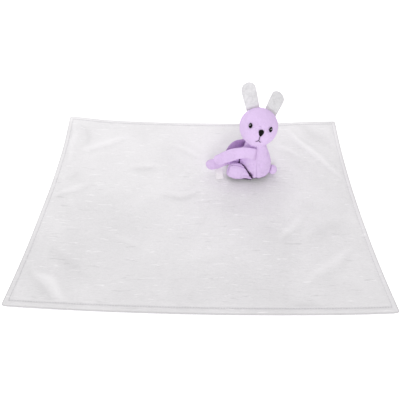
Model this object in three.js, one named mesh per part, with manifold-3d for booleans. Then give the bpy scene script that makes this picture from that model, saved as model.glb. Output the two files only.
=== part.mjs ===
// A puppy blanket with a plush rabbit sitting on it. Millimetres and degrees, +Z up.
// The origin is the middle of the blanket's underside, +X runs along its width and +Y to its back edge.
import * as THREE from "three";
import { mergeVertices } from "three/addons/utils/BufferGeometryUtils.js";
import Module from "manifold-3d";

const wasm = await Module();
wasm.setup();

// Driving dimensions: the blanket
const blanketWidth = 750;
const blanketDepth = 500;
const sideDraw = 13; // how far the middle of each short side is drawn in
const backDraw = 14; // how far the middle of the back edge is drawn in
const frontBow = 8; // how far the middle of the front edge bows past its corners
const backingThickness = 3;
const faceThickness = 4; // pile face at full loft
const foldDepth = 2.2; // hollows between the folds
const hemWidth = 10; // from the edge to the topstitching
const hemEdge = 1.8; // thickness of the pile face at the very edge
const hemRise = 9; // from the topstitching to full loft
const stitchSink = 2.2; // how far the topstitching pulls the pile down
const topstitchWidth = 1.1;
const nestLength = 255; // level patch that the toy sits on
const nestWidth = 150;
const nestFade = 0.3; // share of the patch over which it runs out

// Driving dimensions: the toy's place and torso
const toyX = 132; // middle of the seat
const toyY = 76;
const leanX = -6; // how far the neck stands off the seat
const leanY = 12;
const seatRadius = 20;
const bellyRadius = 38.5;
const bellyHeight = 22;
const neckRadius = 22;
const neckHeight = 105;
const neckDome = 8;
const coverThickness = 2.4;

// Driving dimensions: the head and its face
const headWidth = 84.5;
const headHeight = 87;
const headDepth = 82;
const headCrown = 0.04; // how much fuller the crown is than the chin
const headYaw = -6;
const headPitch = -31.5;
const headTilt = 6.5;
const eyeSide = 31; // angles on the head, from its middle
const eyeRise = 11;
const eyeWidth = 9;
const eyeHeight = 11.5;
const eyeDepth = 3;
const glintWidth = 2.6;
const noseSide = 3.5; // the nose and mouth sit a little off the middle
const noseRise = -2;
const noseWidth = 12;
const noseHeight = 13.5;
const noseDepth = 3.2;
const noseRound = 3.4;
const mouthTop = -11.5;
const mouthFork = -28;
const mouthEnd = -34;
const mouthSpread = 9;
const mouthThread = 1.5;

// Driving dimensions: the ears
const earLength = 58;
const earWidth = 33;
const earBase = 26;
const earThickness = 5.6;
const earEdge = 0.42; // share of the thickness that its rim rounds off on each face
const earRightSpread = 28; // angle of the base from the crown, to the side
const earLeftSpread = 26;
const earBack = 14; // angle of the base behind the crown
const earRightUpright = 5; // how far the blade stands steeper than the head's surface
const earLeftUpright = 4;
const earRightLean = 0; // how far the blade leans back
const earLeftLean = 34;

// Driving dimensions: the arms, their fastening and the label
const shoulderDrop = 23; // below the neck, on the near side
const farShoulderDrop = 38; // the same on the far side
const shoulderForward = 5; // in front of the side seam
const armWidth = 29;
const armLayer = 2.5;
const armLean = 20; // how far the near arm's outside faces up
const armBow = 5; // how far the near arm bows outwards between shoulder and clasp
const armRise = 17; // how far it arches over the straight line between them
const loopSide = 16; // the far arm's run beside the legs, sideways from the seat's middle
const loopHeight = 64;
const loopFlare = 17; // how much further out it starts
const loopDrop = 2; // how far it sinks towards the clasp
const claspGap = 14; // in front of the toes
const claspSide = -6; // sideways from the seat's middle
const claspHeight = 40;
const claspDrop = 36; // slope of the clasped ends
const claspShift = 10; // how far the near arm is fastened above the far one
const handDrop = 19; // slope of the far arm's end
const gripLength = 14; // the near arm's end beyond the middle of the clasp
const handLength = 44; // the far arm's end beyond the middle of the clasp
const patchLength = 12;
const patchWidth = 14;
const patchThickness = 1.1;
const labelWidth = 18;
const labelLength = 26;
const labelThickness = 0.8;
const labelCurl = 3;
const labelAlong = 20; // from the middle of the clasp
const labelSwing = 54; // how far it hangs out from under the arm
const labelSlant = 12; // how far it hangs towards the toes

// Driving dimensions: the legs and the tail
const footWidth = 38;
const footHeight = 46;
const footLength = 22; // from the sole to the widest place
const soleRadius = 11;
const legLength = 62; // from the sole to the hip
const hipRadius = 12;
const hipDome = 9;
const footX = -46; // widest place of the foot, from the seat's middle
const hipX = -7;
const legMiddle = -3; // sideways middle of the pair
const hipSpread = 24;
const hipHeight = 11;
const legSettle = 1.2; // how far a leg flattens where it lies
const legCrease = 0.6; // between leg and torso
const tailWidth = 24;
const tailHeight = 23;
const tailX = 41;
const tailY = -9;
const tailZ = 13.5;

// Clearances
const clearance = 0.3; // between sewn pieces that touch
const neckClearance = 0.6; // between the head and the neck that it turns on
const armClearance = 0.7; // between the arms and the torso that they swing out from
const seamThread = 1.5;

// Facets
const torsoSides = 20;
const limbSides = 14;
const blanketSteps = [32, 20];
const farAway = 600; // half-size of the blocks that cut pieces in two

const radians = THREE.MathUtils.degToRad;
const smooth = (share) => THREE.MathUtils.smoothstep(share, 0, 1);
const vector = (x, y, z) => new THREE.Vector3(x, y, z);

// A closed geometry as a solid for cutting and joining.
function solidOf(geometry) {
  const loose = geometry.index ? geometry.toNonIndexed() : geometry;
  const bare = new THREE.BufferGeometry();
  bare.setAttribute("position", loose.getAttribute("position").clone());
  const merged = mergeVertices(bare, 1e-4);
  const corners = [];
  for (let i = 0; i < merged.index.count; i += 3) {
    const [a, b, c] = [0, 1, 2].map((k) => merged.index.getX(i + k));
    if (a !== b && b !== c && c !== a) corners.push(a, b, c);
  }
  return new wasm.Manifold(
    new wasm.Mesh({
      numProp: 3,
      vertProperties: new Float32Array(merged.attributes.position.array),
      triVerts: new Uint32Array(corners),
    }),
  );
}

// The largest body of a solid, without the slivers that a cut can leave.
function largest(solid) {
  const bodies = solid.decompose();
  return bodies.reduce((most, body) => (body.volume() > most.volume() ? body : most));
}

// The geometry of a cut or joined solid.
function geometryOf(solid) {
  const mesh = solid.getMesh();
  const geometry = new THREE.BufferGeometry();
  geometry.setAttribute("position", new THREE.BufferAttribute(new Float32Array(mesh.vertProperties), 3));
  geometry.setIndex(new THREE.BufferAttribute(new Uint32Array(mesh.triVerts), 1));
  return geometry;
}

// A geometry carried by a matrix, as a solid.
function placedSolid(geometry, matrix) {
  return solidOf(geometry.clone().applyMatrix4(matrix));
}

// A block that fills all space on the side of a plane that its normal points to.
function halfSpace(point, normal) {
  const block = new THREE.BoxGeometry(2 * farAway, 2 * farAway, 2 * farAway);
  block.translate(0, 0, farAway);
  const turn = new THREE.Quaternion().setFromUnitVectors(vector(0, 0, 1), normal.clone().normalize());
  block.applyQuaternion(turn);
  block.translate(point.x, point.y, point.z);
  return solidOf(block);
}

// A closed skin over rings of equally many points, with a flat lid on each end.
// The rings run anticlockwise seen from the last one, or clockwise if mirrored.
function loft(rings, mirrored = false) {
  const count = rings[0].length;
  const points = rings.flat();
  const faces = [];
  for (let r = 0; r + 1 < rings.length; r++) {
    for (let k = 0; k < count; k++) {
      const next = (k + 1) % count;
      const [near, far] = [r * count, (r + 1) * count];
      faces.push(near + k, near + next, far + next, near + k, far + next, far + k);
    }
  }
  const last = (rings.length - 1) * count;
  for (let k = 1; k + 1 < count; k++) {
    faces.push(0, k + 1, k, last, last + k, last + k + 1);
  }
  return geometryFrom(points, mirrored ? faces.reverse() : faces);
}

function geometryFrom(points, faces) {
  const geometry = new THREE.BufferGeometry();
  geometry.setFromPoints(points);
  geometry.setIndex(faces);
  return geometry;
}

// A pear turned about +Z: a flat base, a bulge, a taper to a neck and a dome. It grows all round by grow.
function pear(size, sides, grow = 0) {
  const profile = [new THREE.Vector2(0, -grow)];
  for (let i = 0; i <= 4; i++) {
    const angle = (Math.PI * i) / 8;
    const radius = size.base + (size.bulge - size.base) * Math.sin(angle) + grow;
    profile.push(new THREE.Vector2(radius, size.bulgeAt - (size.bulgeAt + grow) * Math.cos(angle)));
  }
  for (let i = 1; i <= 5; i++) {
    const share = i / 5;
    const radius = size.neck + ((size.bulge - size.neck) * (1 + Math.cos(Math.PI * share))) / 2 + grow;
    profile.push(new THREE.Vector2(radius, size.bulgeAt + (size.neckAt - size.bulgeAt) * share));
  }
  for (let i = 1; i <= 3; i++) {
    const angle = (Math.PI * i) / 6;
    const radius = i < 3 ? (size.neck + grow) * Math.cos(angle) : 0;
    profile.push(new THREE.Vector2(radius, size.neckAt + (size.dome + grow) * Math.sin(angle)));
  }
  return new THREE.LatheGeometry(profile, sides).rotateX(Math.PI / 2);
}

// Colours and finishes
const finish = (color, roughness) => ({ color, roughness, metalness: 0 });
const lilacPlush = finish(0xe6ccf3, 0.95);
const whitePlush = finish(0xe9e7ea, 0.9);
const silkyWhite = finish(0xe4e2e5, 0.75);
const backingWhite = finish(0xdedce0, 0.95);
const blackThread = finish(0x14100f, 0.55);
const whiteThread = finish(0xd8d6da, 0.7);
const lilacThread = finish(0xc9a9dc, 0.7);
const fibre = finish(0xf4f3f2, 1);
const tape = finish(0xd9c3e6, 0.85);
const satin = finish(0xeee5ed, 0.45);

function piece(parent, name, geometry, look) {
  const mesh = new THREE.Mesh(geometry, new THREE.MeshStandardMaterial(look));
  mesh.name = name;
  parent.add(mesh);
  return mesh;
}

// A group whose origin is the place that its pieces turn about, with geometry given in the parent's frame.
function hinged(parent, pivot) {
  const group = new THREE.Group();
  group.position.copy(pivot);
  parent.add(group);
  return group;
}

const part = new THREE.Group();

// The blanket: a flat backing, a lofted pile face and the topstitching along the hem

// Stations across the blanket: the hem's own lines at both edges and even steps between them.
function stations(size, steps) {
  const hem = [0, hemWidth / 2, hemWidth];
  const start = hemWidth + hemRise;
  const inner = Array.from({ length: steps + 1 }, (_, i) => start + ((size - 2 * start) * i) / steps);
  const across = [...hem, ...inner, ...hem.map((inset) => size - inset).reverse()];
  return across.map((place) => place - size / 2);
}

// A point of the cut rectangle where it lies: sides and back drawn in, the front bowed out.
function drawnIn(x, y) {
  const u = (2 * x) / blanketWidth;
  const v = (2 * y) / blanketDepth;
  const inwards = v > 0 ? backDraw : -frontBow;
  return [x - u * sideDraw * (1 - v * v), y - Math.abs(v) * v * inwards * (1 - u * u)];
}

// The main folds: the corner that each lies near, its two ends in from that corner, and its width.
const folds = [
  { corner: [-1, -1], from: [29, 76], to: [129, 16], width: 15 },
  { corner: [-1, -1], from: [12, 30], to: [18, 96], width: 11 },
  { corner: [1, 1], from: [137, 30], to: [18, 194], width: 17 },
  { corner: [1, 1], from: [167, 84], to: [111, 128], width: 13 },
  { corner: [-1, 1], from: [50, 121], to: [166, 63], width: 16 },
  { corner: [-1, 1], from: [20, 253], to: [100, 217], width: 14 },
  { corner: [1, -1], from: [198, 146], to: [131, 195], width: 15 },
  { corner: [1, -1], from: [155, 70], to: [43, 128], width: 17 },
  { corner: [-1, 1], from: [291, 80], to: [378, 133], width: 15 },
];

function foldAt(fold, x, y) {
  const [a, b] = [fold.from, fold.to].map(([inX, inY]) => {
    return new THREE.Vector2(
      fold.corner[0] * (blanketWidth / 2 - inX),
      fold.corner[1] * (blanketDepth / 2 - inY),
    );
  });
  const along = b.clone().sub(a);
  const here = new THREE.Vector2(x, y).sub(a);
  const share = THREE.MathUtils.clamp(here.dot(along) / along.lengthSq(), 0, 1);
  const away = here.distanceTo(along.multiplyScalar(share));
  return Math.exp(-((away / fold.width) ** 2));
}

// The pile's loft, from 0 in a hollow to 1 on a fold or under the toy.
function loftAt(x, y) {
  const nest = Math.hypot((x - toyX + nestLength / 8) / (nestLength / 2), (y - toyY) / (nestWidth / 2));
  const level = 1 - smooth((nest - 1) / nestFade);
  return 1 - folds.reduce((left, fold) => left * (1 - foldAt(fold, x, y)), 1 - level);
}

// The pile face's thickness at a place of the cut rectangle.
function thicknessAt(x, y) {
  const inset = Math.min(blanketWidth / 2 - Math.abs(x), blanketDepth / 2 - Math.abs(y));
  if (inset < hemWidth / 4) return hemEdge;
  if (inset < (hemWidth * 3) / 4) return faceThickness - foldDepth / 3;
  if (inset < hemWidth + hemRise / 2) return faceThickness - stitchSink;
  return faceThickness - foldDepth * (1 - loftAt(x, y));
}

const acrossWidth = stations(blanketWidth, blanketSteps[0]);
const acrossDepth = stations(blanketDepth, blanketSteps[1]);
const faceBottom = backingThickness + clearance;
const seatLevel = faceBottom + faceThickness + clearance;

// The grid places round a frame of stations, counted in from the edge, anticlockwise from the front left.
function frameOf(inset) {
  const [columns, rows] = [acrossWidth.length - 1 - inset, acrossDepth.length - 1 - inset];
  const places = [];
  for (let i = inset; i < columns; i++) places.push([i, inset]);
  for (let j = inset; j < rows; j++) places.push([columns, j]);
  for (let i = columns; i > inset; i--) places.push([i, rows]);
  for (let j = rows; j > inset; j--) places.push([inset, j]);
  return places;
}

const outline = frameOf(0).map(([i, j]) => new THREE.Vector2(...drawnIn(acrossWidth[i], acrossDepth[j])));

function blanketFace() {
  const columns = acrossWidth.length;
  const points = [];
  const faces = [];
  for (const y of acrossDepth) {
    for (const x of acrossWidth) {
      points.push(vector(...drawnIn(x, y), faceBottom + thicknessAt(x, y)));
    }
  }
  for (let j = 0; j + 1 < acrossDepth.length; j++) {
    for (let i = 0; i + 1 < columns; i++) {
      const a = j * columns + i;
      faces.push(a, a + 1, a + columns + 1, a, a + columns + 1, a + columns);
    }
  }
  const rim = frameOf(0).map(([i, j]) => j * columns + i);
  const under = points.length;
  outline.forEach((corner) => points.push(vector(corner.x, corner.y, faceBottom)));
  rim.forEach((top, k) => {
    const next = (k + 1) % rim.length;
    faces.push(top, under + next, rim[next], top, under + k, under + next);
  });
  for (const [a, b, c] of THREE.ShapeUtils.triangulateShape(outline, [])) {
    faces.push(under + a, under + c, under + b);
  }
  return geometryFrom(points, faces);
}

// A thread of square section laid on edge along a closed row of places.
function threadLoop(places, width) {
  const count = places.length;
  const rings = places.map((place, k) => {
    const ahead = places[(k + 1) % count].clone().sub(places[(k + count - 1) % count]);
    const side = vector(ahead.y, -ahead.x, 0).setLength(width / 2);
    const up = vector(0, 0, width / 2);
    return [place.clone().sub(up), place.clone().add(side), place.clone().add(up), place.clone().sub(side)];
  });
  const faces = [];
  for (let r = 0; r < count; r++) {
    for (let k = 0; k < 4; k++) {
      const [here, there] = [4 * r, 4 * ((r + 1) % count)];
      const next = (k + 1) % 4;
      faces.push(here + k, there + k, there + next, here + k, there + next, here + next);
    }
  }
  return geometryFrom(rings.flat(), faces);
}

const blanket = new THREE.Group();
part.add(blanket);
const backing = new THREE.ExtrudeGeometry(new THREE.Shape(outline), {
  depth: backingThickness,
  bevelEnabled: false,
});
piece(blanket, "blanket_backing_sheet", backing, backingWhite);
piece(blanket, "blanket_face_sheet", blanketFace(), silkyWhite);
const topstitchLevel = faceBottom + faceThickness - stitchSink + clearance + topstitchWidth / 2;
const topstitchRoute = frameOf(2)
  .filter((_, k) => k % 2 === 0)
  .map(([i, j]) => vector(...drawnIn(acrossWidth[i], acrossDepth[j]), topstitchLevel));
piece(blanket, "edge_topstitch_thread", threadLoop(topstitchRoute, topstitchWidth), whiteThread);

// The toy, with its origin on the blanket under the middle of its seat
const toy = new THREE.Group();
toy.position.set(toyX, toyY, seatLevel);
part.add(toy);

// The torso: two cover panels sewn up the sides, round a filling
const torsoSize = {
  base: seatRadius,
  bulge: bellyRadius,
  bulgeAt: bellyHeight,
  neck: neckRadius,
  neckAt: neckHeight,
  dome: neckDome,
};

// How far the torso's middle line stands off the seat's middle at a height: it leans, then straightens.
function leanAt(height) {
  const share = smooth(height / neckHeight);
  return vector(leanX * share, leanY * share, 0);
}

function leaned(geometry) {
  const place = geometry.getAttribute("position");
  for (let i = 0; i < place.count; i++) {
    const lean = leanAt(place.getZ(i));
    place.setXY(i, place.getX(i) + lean.x, place.getY(i) + lean.y);
  }
  return geometry;
}

// The torso's radius on the taper between belly and neck.
function torsoRadiusAt(height) {
  const share = THREE.MathUtils.clamp((height - bellyHeight) / (neckHeight - bellyHeight), 0, 1);
  return neckRadius + ((bellyRadius - neckRadius) * (1 + Math.cos(Math.PI * share))) / 2;
}

const torsoGrown = (grow) => solidOf(leaned(pear(torsoSize, torsoSides, grow)));

// The two halves of a hollow cover, parted at a plane by the seam's clearance.
function coverHalves(outer, inner, point, normal) {
  const shell = outer.subtract(inner);
  const step = normal.clone().setLength(clearance / 2);
  return [1, -1].map((side) => {
    const away = step.clone().multiplyScalar(side);
    return shell.intersect(halfSpace(point.clone().add(away), away));
  });
}

const seamPoint = vector(leanX / 2, leanY / 2, 0);
const [torsoBack, torsoFront] = coverHalves(
  torsoGrown(0),
  torsoGrown(-coverThickness),
  seamPoint,
  vector(1, 0, 0),
);
piece(toy, "torso_front_panel", geometryOf(torsoFront), lilacPlush);
piece(toy, "torso_back_panel", geometryOf(torsoBack), lilacPlush);
piece(toy, "torso_filling", geometryOf(torsoGrown(-coverThickness - clearance)), fibre);

// The head: a face panel and a back panel round a filling, on a neck that it turns about
const neckMiddle = leanAt(neckHeight);
const neckSeat = Math.sqrt((headWidth / 2) ** 2 - neckRadius ** 2);
const headMiddle = vector(neckMiddle.x, neckMiddle.y, neckHeight + neckSeat);
const head = new THREE.Group();
head.position.copy(headMiddle);
head.rotation.set(radians(headPitch), radians(headTilt), radians(headYaw), "ZXY");
toy.add(head);
head.updateMatrix();
const intoHead = head.matrix.clone().invert();

// A point of the head by its angles to the side and up from the middle of the face, lifted off the surface.
function headPoint(side, rise, lift = 0) {
  const [a, b] = [radians(side), radians(rise)];
  const fuller = 1 + headCrown * Math.sin(b);
  return vector(
    (headWidth / 2 + lift) * Math.sin(a) * Math.cos(b) * fuller,
    -(headDepth / 2 + lift) * Math.cos(a) * Math.cos(b) * fuller,
    (headHeight / 2 + lift) * Math.sin(b),
  );
}

// The direction out of the head's surface at a point.
function headNormal(point) {
  return vector(
    point.x / headWidth ** 2,
    point.y / headDepth ** 2,
    point.z / headHeight ** 2,
  ).normalize();
}

function headGrown(grow) {
  const profile = [];
  const steps = 12;
  for (let i = 0; i <= steps; i++) {
    const rise = -90 + (180 * i) / steps;
    const place = headPoint(90, rise, grow);
    profile.push(new THREE.Vector2(i % steps ? place.x : 0, place.z));
  }
  const skull = new THREE.LatheGeometry(profile, torsoSides).rotateX(Math.PI / 2);
  return solidOf(skull.scale(1, (headDepth + 2 * grow) / (headWidth + 2 * grow), 1));
}

// The thread that closes the neck, in the crease between head and torso
const neckThreadRing = (width) => {
  const ring = new THREE.TorusGeometry(neckRadius + clearance + seamThread / 2, width / 2, 5, torsoSides);
  return ring.translate(neckMiddle.x, neckMiddle.y, neckHeight);
};
piece(toy, "neck_seam_thread", neckThreadRing(seamThread), lilacThread);
const neckCutter = torsoGrown(neckClearance)
  .add(solidOf(neckThreadRing(seamThread + 2 * neckClearance)))
  .transform(intoHead.elements);

const headSeam = vector(0, Math.cos(radians(earBack)), -Math.sin(radians(earBack)));
const [headBack, headFront] = coverHalves(
  headGrown(0).subtract(neckCutter),
  headGrown(-coverThickness),
  vector(0, 0, 0),
  headSeam,
);
piece(head, "head_front_panel", geometryOf(headFront), lilacPlush);
piece(head, "head_back_panel", geometryOf(headBack), lilacPlush);
const headFilling = headGrown(-coverThickness - clearance).subtract(neckCutter);
piece(head, "head_filling", geometryOf(headFilling), fibre);

// A frame on the head: x to the side, y up the face and z out of the surface.
function onHead(point) {
  const out = headNormal(point);
  const side = vector(0, 0, 1).cross(out).normalize();
  const up = out.clone().cross(side);
  return new THREE.Matrix4().makeBasis(side, up, out).setPosition(point);
}

const headUnderTrim = headGrown(clearance);

function eye(name, side) {
  const frame = onHead(headPoint(side * eyeSide, eyeRise));
  const ball = (grow) => {
    const bead = new THREE.SphereGeometry(0.5, 12, 6);
    return placedSolid(
      bead.scale(eyeWidth + 2 * grow, eyeHeight + 2 * grow, eyeDepth + 2 * grow),
      frame,
    );
  };
  piece(head, `${name}_stitching`, geometryOf(ball(0).subtract(headUnderTrim)), blackThread);
  const shine = new THREE.SphereGeometry(glintWidth / 2, 8, 5);
  shine.translate(-eyeWidth / 7, eyeHeight / 7, eyeDepth / 2);
  const glint = placedSolid(shine, frame).subtract(ball(clearance)).subtract(headUnderTrim);
  piece(head, `${name}_glint`, geometryOf(glint), whiteThread);
}

eye("eye_right", -1);
eye("eye_left", 1);

function nose() {
  const shape = new THREE.Shape();
  const [half, top, round] = [noseWidth / 2 - noseRound, noseHeight / 2 - noseRound, noseRound];
  const drop = vector(half, 2 * top, 0).normalize();
  const tilt = Math.atan2(drop.x, drop.y);
  shape.absarc(half, top, round, -tilt, Math.PI / 2, false);
  shape.absarc(-half, top, round, Math.PI / 2, Math.PI + tilt, false);
  shape.absarc(0, -top, round, Math.PI + tilt, 2 * Math.PI - tilt, false);
  const pad = new THREE.ExtrudeGeometry(shape, {
    depth: noseDepth,
    bevelThickness: noseDepth / 4,
    bevelSize: noseDepth / 4,
    bevelOffset: -noseDepth / 4,
    bevelSegments: 1,
    curveSegments: 4,
  });
  pad.translate(0, 0, -noseDepth / 2 - noseDepth / 4);
  const frame = onHead(headPoint(noseSide, noseRise));
  return placedSolid(pad, frame).subtract(headUnderTrim);
}

const noseSolid = nose();
piece(head, "nose_stitching", geometryOf(noseSolid), blackThread);

// A tube through points over the head's surface.
function faceThread(angles) {
  const lift = clearance + mouthThread / 2;
  const route = new THREE.CatmullRomCurve3(angles.map(([side, rise]) => headPoint(side, rise, lift)));
  const round = new THREE.Shape().absarc(0, 0, mouthThread / 2, 0, 2 * Math.PI, false);
  return solidOf(
    new THREE.ExtrudeGeometry(round, { steps: 2 * angles.length, extrudePath: route, curveSegments: 3 }),
  );
}

const mouthMiddle = (mouthFork + mouthEnd) / 2;
const mouthStroke = (end) => {
  const half = noseSide + end / 2;
  return faceThread([[noseSide, mouthFork + 2], [half, mouthMiddle], [noseSide + end, mouthEnd]]);
};
const mouthHalf = (mouthTop + mouthFork) / 2;
const mouth = faceThread([[noseSide, mouthTop], [noseSide, mouthHalf], [noseSide, mouthFork]])
  .add(mouthStroke(mouthSpread))
  .add(mouthStroke(-mouthSpread))
  .subtract(headUnderTrim);
piece(head, "mouth_thread", geometryOf(mouth), blackThread);

// The ears: two flat layers each, with a round base that folds on the head

// Half the ear's width at a share of its length: it widens from the base and ends in a round tip.
function earHalfWidth(share) {
  const tip = 1 - earWidth / 2 / earLength;
  const spread = (earBase + (earWidth - earBase) * Math.sin((Math.PI / 2) * Math.min(share / tip, 1))) / 2;
  const past = Math.max(0, (share - tip) / (1 - tip));
  return spread * Math.sqrt(Math.max(0, 1 - past * past));
}

function earBlade(side, upright) {
  const shares = [0, 0.2, 0.42, 0.64, 0.78, 0.88, 0.95, 0.985];
  const slant = -side * Math.tan(radians(upright));
  const edge = (hand) => {
    return shares.map((share) => {
      const height = share * earLength;
      return new THREE.Vector2(slant * height + hand * earHalfWidth(share), height - earThickness / 2);
    });
  };
  const soft = earThickness * earEdge;
  const blade = new THREE.ExtrudeGeometry(new THREE.Shape([...edge(1), ...edge(-1).reverse()]), {
    depth: earThickness - 2 * soft,
    bevelThickness: soft,
    bevelSize: soft,
    bevelOffset: -soft,
    bevelSegments: 2,
  });
  return solidOf(blade.translate(0, 0, soft - earThickness / 2).rotateX(Math.PI / 2));
}

function ear(name, side, spread, upright, lean) {
  const base = headPoint(180 - side * 90, 90 - spread);
  const tipped = base.applyAxisAngle(vector(1, 0, 0), -radians(earBack));
  const out = headNormal(tipped);
  const back = vector(0, 1, 0).addScaledVector(out, -out.y).normalize();
  const across = back.clone().cross(out);
  const seat = tipped.clone().addScaledVector(out, clearance + earThickness / 2);
  const group = new THREE.Group();
  group.applyMatrix4(new THREE.Matrix4().makeBasis(across, back, out).setPosition(seat));
  group.rotateX(-radians(lean));
  head.add(group);
  const blade = earBlade(side, upright);
  const half = clearance / 2;
  const front = blade.intersect(halfSpace(vector(0, -half, 0), vector(0, -1, 0)));
  const rear = blade.intersect(halfSpace(vector(0, half, 0), vector(0, 1, 0)));
  piece(group, `${name}_front_layer`, geometryOf(front), whitePlush);
  piece(group, `${name}_back_layer`, geometryOf(rear), whitePlush);
}

ear("ear_right", -1, earRightSpread, earRightUpright, earRightLean);
ear("ear_left", 1, earLeftSpread, earLeftUpright, earLeftLean);

// The legs: two cover panels each, round a filling, lying on the blanket
const legSize = {
  base: soleRadius,
  bulge: footWidth / 2,
  bulgeAt: footLength,
  neck: hipRadius,
  neckAt: legLength,
  dome: hipDome,
};
const footSide = (footWidth + legCrease) / 2;
const belowSeat = halfSpace(vector(0, 0, 0), vector(0, 0, -1));

function leg(name, side) {
  const foot = vector(footX, legMiddle + side * footSide, footHeight / 2 - legSettle);
  const hip = vector(hipX, legMiddle + side * hipSpread, hipHeight);
  const along = hip.clone().sub(foot).normalize();
  const across = vector(0, 0, 1).cross(along).normalize();
  const up = along.clone().cross(across);
  const frame = new THREE.Matrix4().makeBasis(across, up, along);
  frame.setPosition(foot.clone().addScaledVector(along, -footLength));
  const limb = (grow) => {
    const taller = (footHeight + 2 * grow) / (footWidth + 2 * grow);
    return placedSolid(pear(legSize, limbSides, grow).scale(1, taller, 1), frame);
  };
  const trimmed = (solid, gap) => {
    const cut = halfSpace(vector(0, 0, gap), vector(0, 0, -1));
    return solid.subtract(cut).subtract(torsoGrown(legCrease + gap));
  };
  const halfway = legMiddle + (side * clearance) / 2;
  const own = halfSpace(vector(0, halfway, 0), vector(0, side, 0));
  const outer = trimmed(limb(0), 0).intersect(own);
  const inner = trimmed(limb(-coverThickness), coverThickness);
  const [outside, inside] = coverHalves(outer, inner, foot, across.clone().multiplyScalar(side));
  const pivot = vector(hipX + hipDome + legCrease, legMiddle + side * (footSide + footWidth / 2), 0);
  const group = hinged(toy, pivot);
  const settle = (solid) => geometryOf(solid).translate(-pivot.x, -pivot.y, -pivot.z);
  piece(group, `${name}_outer_panel`, settle(outside), lilacPlush);
  piece(group, `${name}_inner_panel`, settle(inside), lilacPlush);
  const packed = trimmed(limb(-coverThickness - clearance), coverThickness + clearance);
  piece(group, `${name}_filling`, settle(packed), fibre);
}

leg("leg_left", -1);
leg("leg_right", 1);

// The tail, a small stuffed nub on the torso's back
const tailBall = new THREE.SphereGeometry(0.5, 14, 9).scale(tailWidth, tailWidth, tailHeight);
const tailSolid = solidOf(tailBall.translate(tailX, tailY, tailZ)).subtract(torsoGrown(clearance));
piece(toy, "tail", geometryOf(tailSolid.subtract(belowSeat)), lilacPlush);

// The arms: two flat layers each, round to the front of the toes, where one is fastened over the other

// Half an arm's section, across and out of the seam between its layers.
const layerSection = [[-1, 0], [-0.94, 0.55], [-0.6, 0.94], [0, 1], [0.6, 0.94], [0.94, 0.55], [1, 0]];
const claspX = footX - footLength - claspGap;
const clasp = vector(claspX, claspSide, claspHeight);
const sloping = (drop) => vector(-Math.cos(radians(drop)), 0, -Math.sin(radians(drop)));
const claspAhead = sloping(claspDrop);
const stackRise = 2 * (clearance / 2 + armLayer + clearance + patchThickness) + clearance;

// The frame of an arm at a place on its route: across its width, out of its outside and along it.
function armFrame(ahead, lean) {
  const along = ahead.clone().normalize();
  const upright = vector(0, 0, 1).addScaledVector(along, -along.z).normalize();
  const outward = upright.clone().cross(along);
  const tip = radians(lean);
  return {
    along,
    across: upright.clone().multiplyScalar(Math.cos(tip)).addScaledVector(outward, -Math.sin(tip)),
    out: outward.clone().multiplyScalar(Math.cos(tip)).addScaledVector(upright, Math.sin(tip)),
  };
}

const claspFrame = armFrame(claspAhead, armLean);
const alongClasp = (distance, rise, shift = 0) => {
  const place = clasp.clone().addScaledVector(claspAhead, distance);
  return place.addScaledVector(claspFrame.out, rise).addScaledVector(claspFrame.across, shift);
};

// An arm layer: its section carried along the route, with a round end, on one side of the seam.
function armLayerSolid(arm, side, grow = 0) {
  const steps = 20;
  const rings = [];
  for (let i = 0; i <= steps; i++) {
    const share = 1 - (1 - i / steps) ** 1.25;
    const middle = arm.route.getPointAt(share);
    const turned = smooth((share - 0.1) / 0.4);
    const frame = armFrame(arm.route.getTangentAt(share), arm.rootLean + (armLean - arm.rootLean) * turned);
    const left = ((1 - share) * arm.route.getLength()) / (armWidth / 2);
    const round = left < 1 ? Math.sqrt(Math.max(0.16, 1 - (1 - left) ** 2)) : 1;
    const ring = layerSection.map(([across, out]) => {
      return middle
        .clone()
        .addScaledVector(frame.across, across * (round * (armWidth / 2) + grow))
        .addScaledVector(frame.out, side * (clearance / 2 - grow + out * (armLayer + 2 * grow)));
    });
    rings.push(ring);
  }
  return solidOf(loft(rings, side < 0));
}

// Where an arm starts, in the side seam of the torso.
function shoulder(side, height) {
  const lean = leanAt(height);
  const reach = torsoRadiusAt(height - armWidth / 8) + clearance + armLayer;
  return vector(lean.x - shoulderForward, lean.y + side * reach, height);
}

// An arm along its route from the shoulder, with its two layers, cut clear of what it lies against.
function arm(name, side, places, rootLean, neighbours) {
  const shape = { route: new THREE.CatmullRomCurve3(places), rootLean };
  const pivot = places[0];
  const group = hinged(toy, pivot);
  const settle = (solid) => geometryOf(solid).translate(-pivot.x, -pivot.y, -pivot.z);
  const taken = [torsoGrown(armClearance), ...neighbours];
  const layers = { outer: -side, inner: side };
  for (const [layer, facing] of Object.entries(layers)) {
    const cloth = taken.reduce((left, solid) => left.subtract(solid), armLayerSolid(shape, facing));
    piece(group, `${name}_${layer}_layer`, settle(largest(cloth)), lilacPlush);
    taken.push(armLayerSolid(shape, facing, clearance));
  }
  return { group, pivot, settle, taken: taken.slice(-2) };
}

// The far arm runs beside the legs, bends in to the clasp and ends in the hand.
const farStart = shoulder(1, neckHeight - farShoulderDrop);
const farRun = [[0.36, 0], [0.66, 1]].map(([share, bent]) => {
  const ahead = farStart.x + (clasp.x - farStart.x) * share;
  return vector(ahead, loopSide + loopFlare * (1 - bent), loopHeight - loopDrop * bent);
});
const wrist = 1.4 * gripLength;
const farEnds = [-gripLength / 2, 0, gripLength / 2, gripLength, wrist].map((along) => alongClasp(along, 0));
const hand = alongClasp(wrist, 0).addScaledVector(sloping(handDrop), handLength - wrist);
const armRight = arm("arm_right", 1, [farStart, ...farRun, ...farEnds, hand], 0, []);

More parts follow.
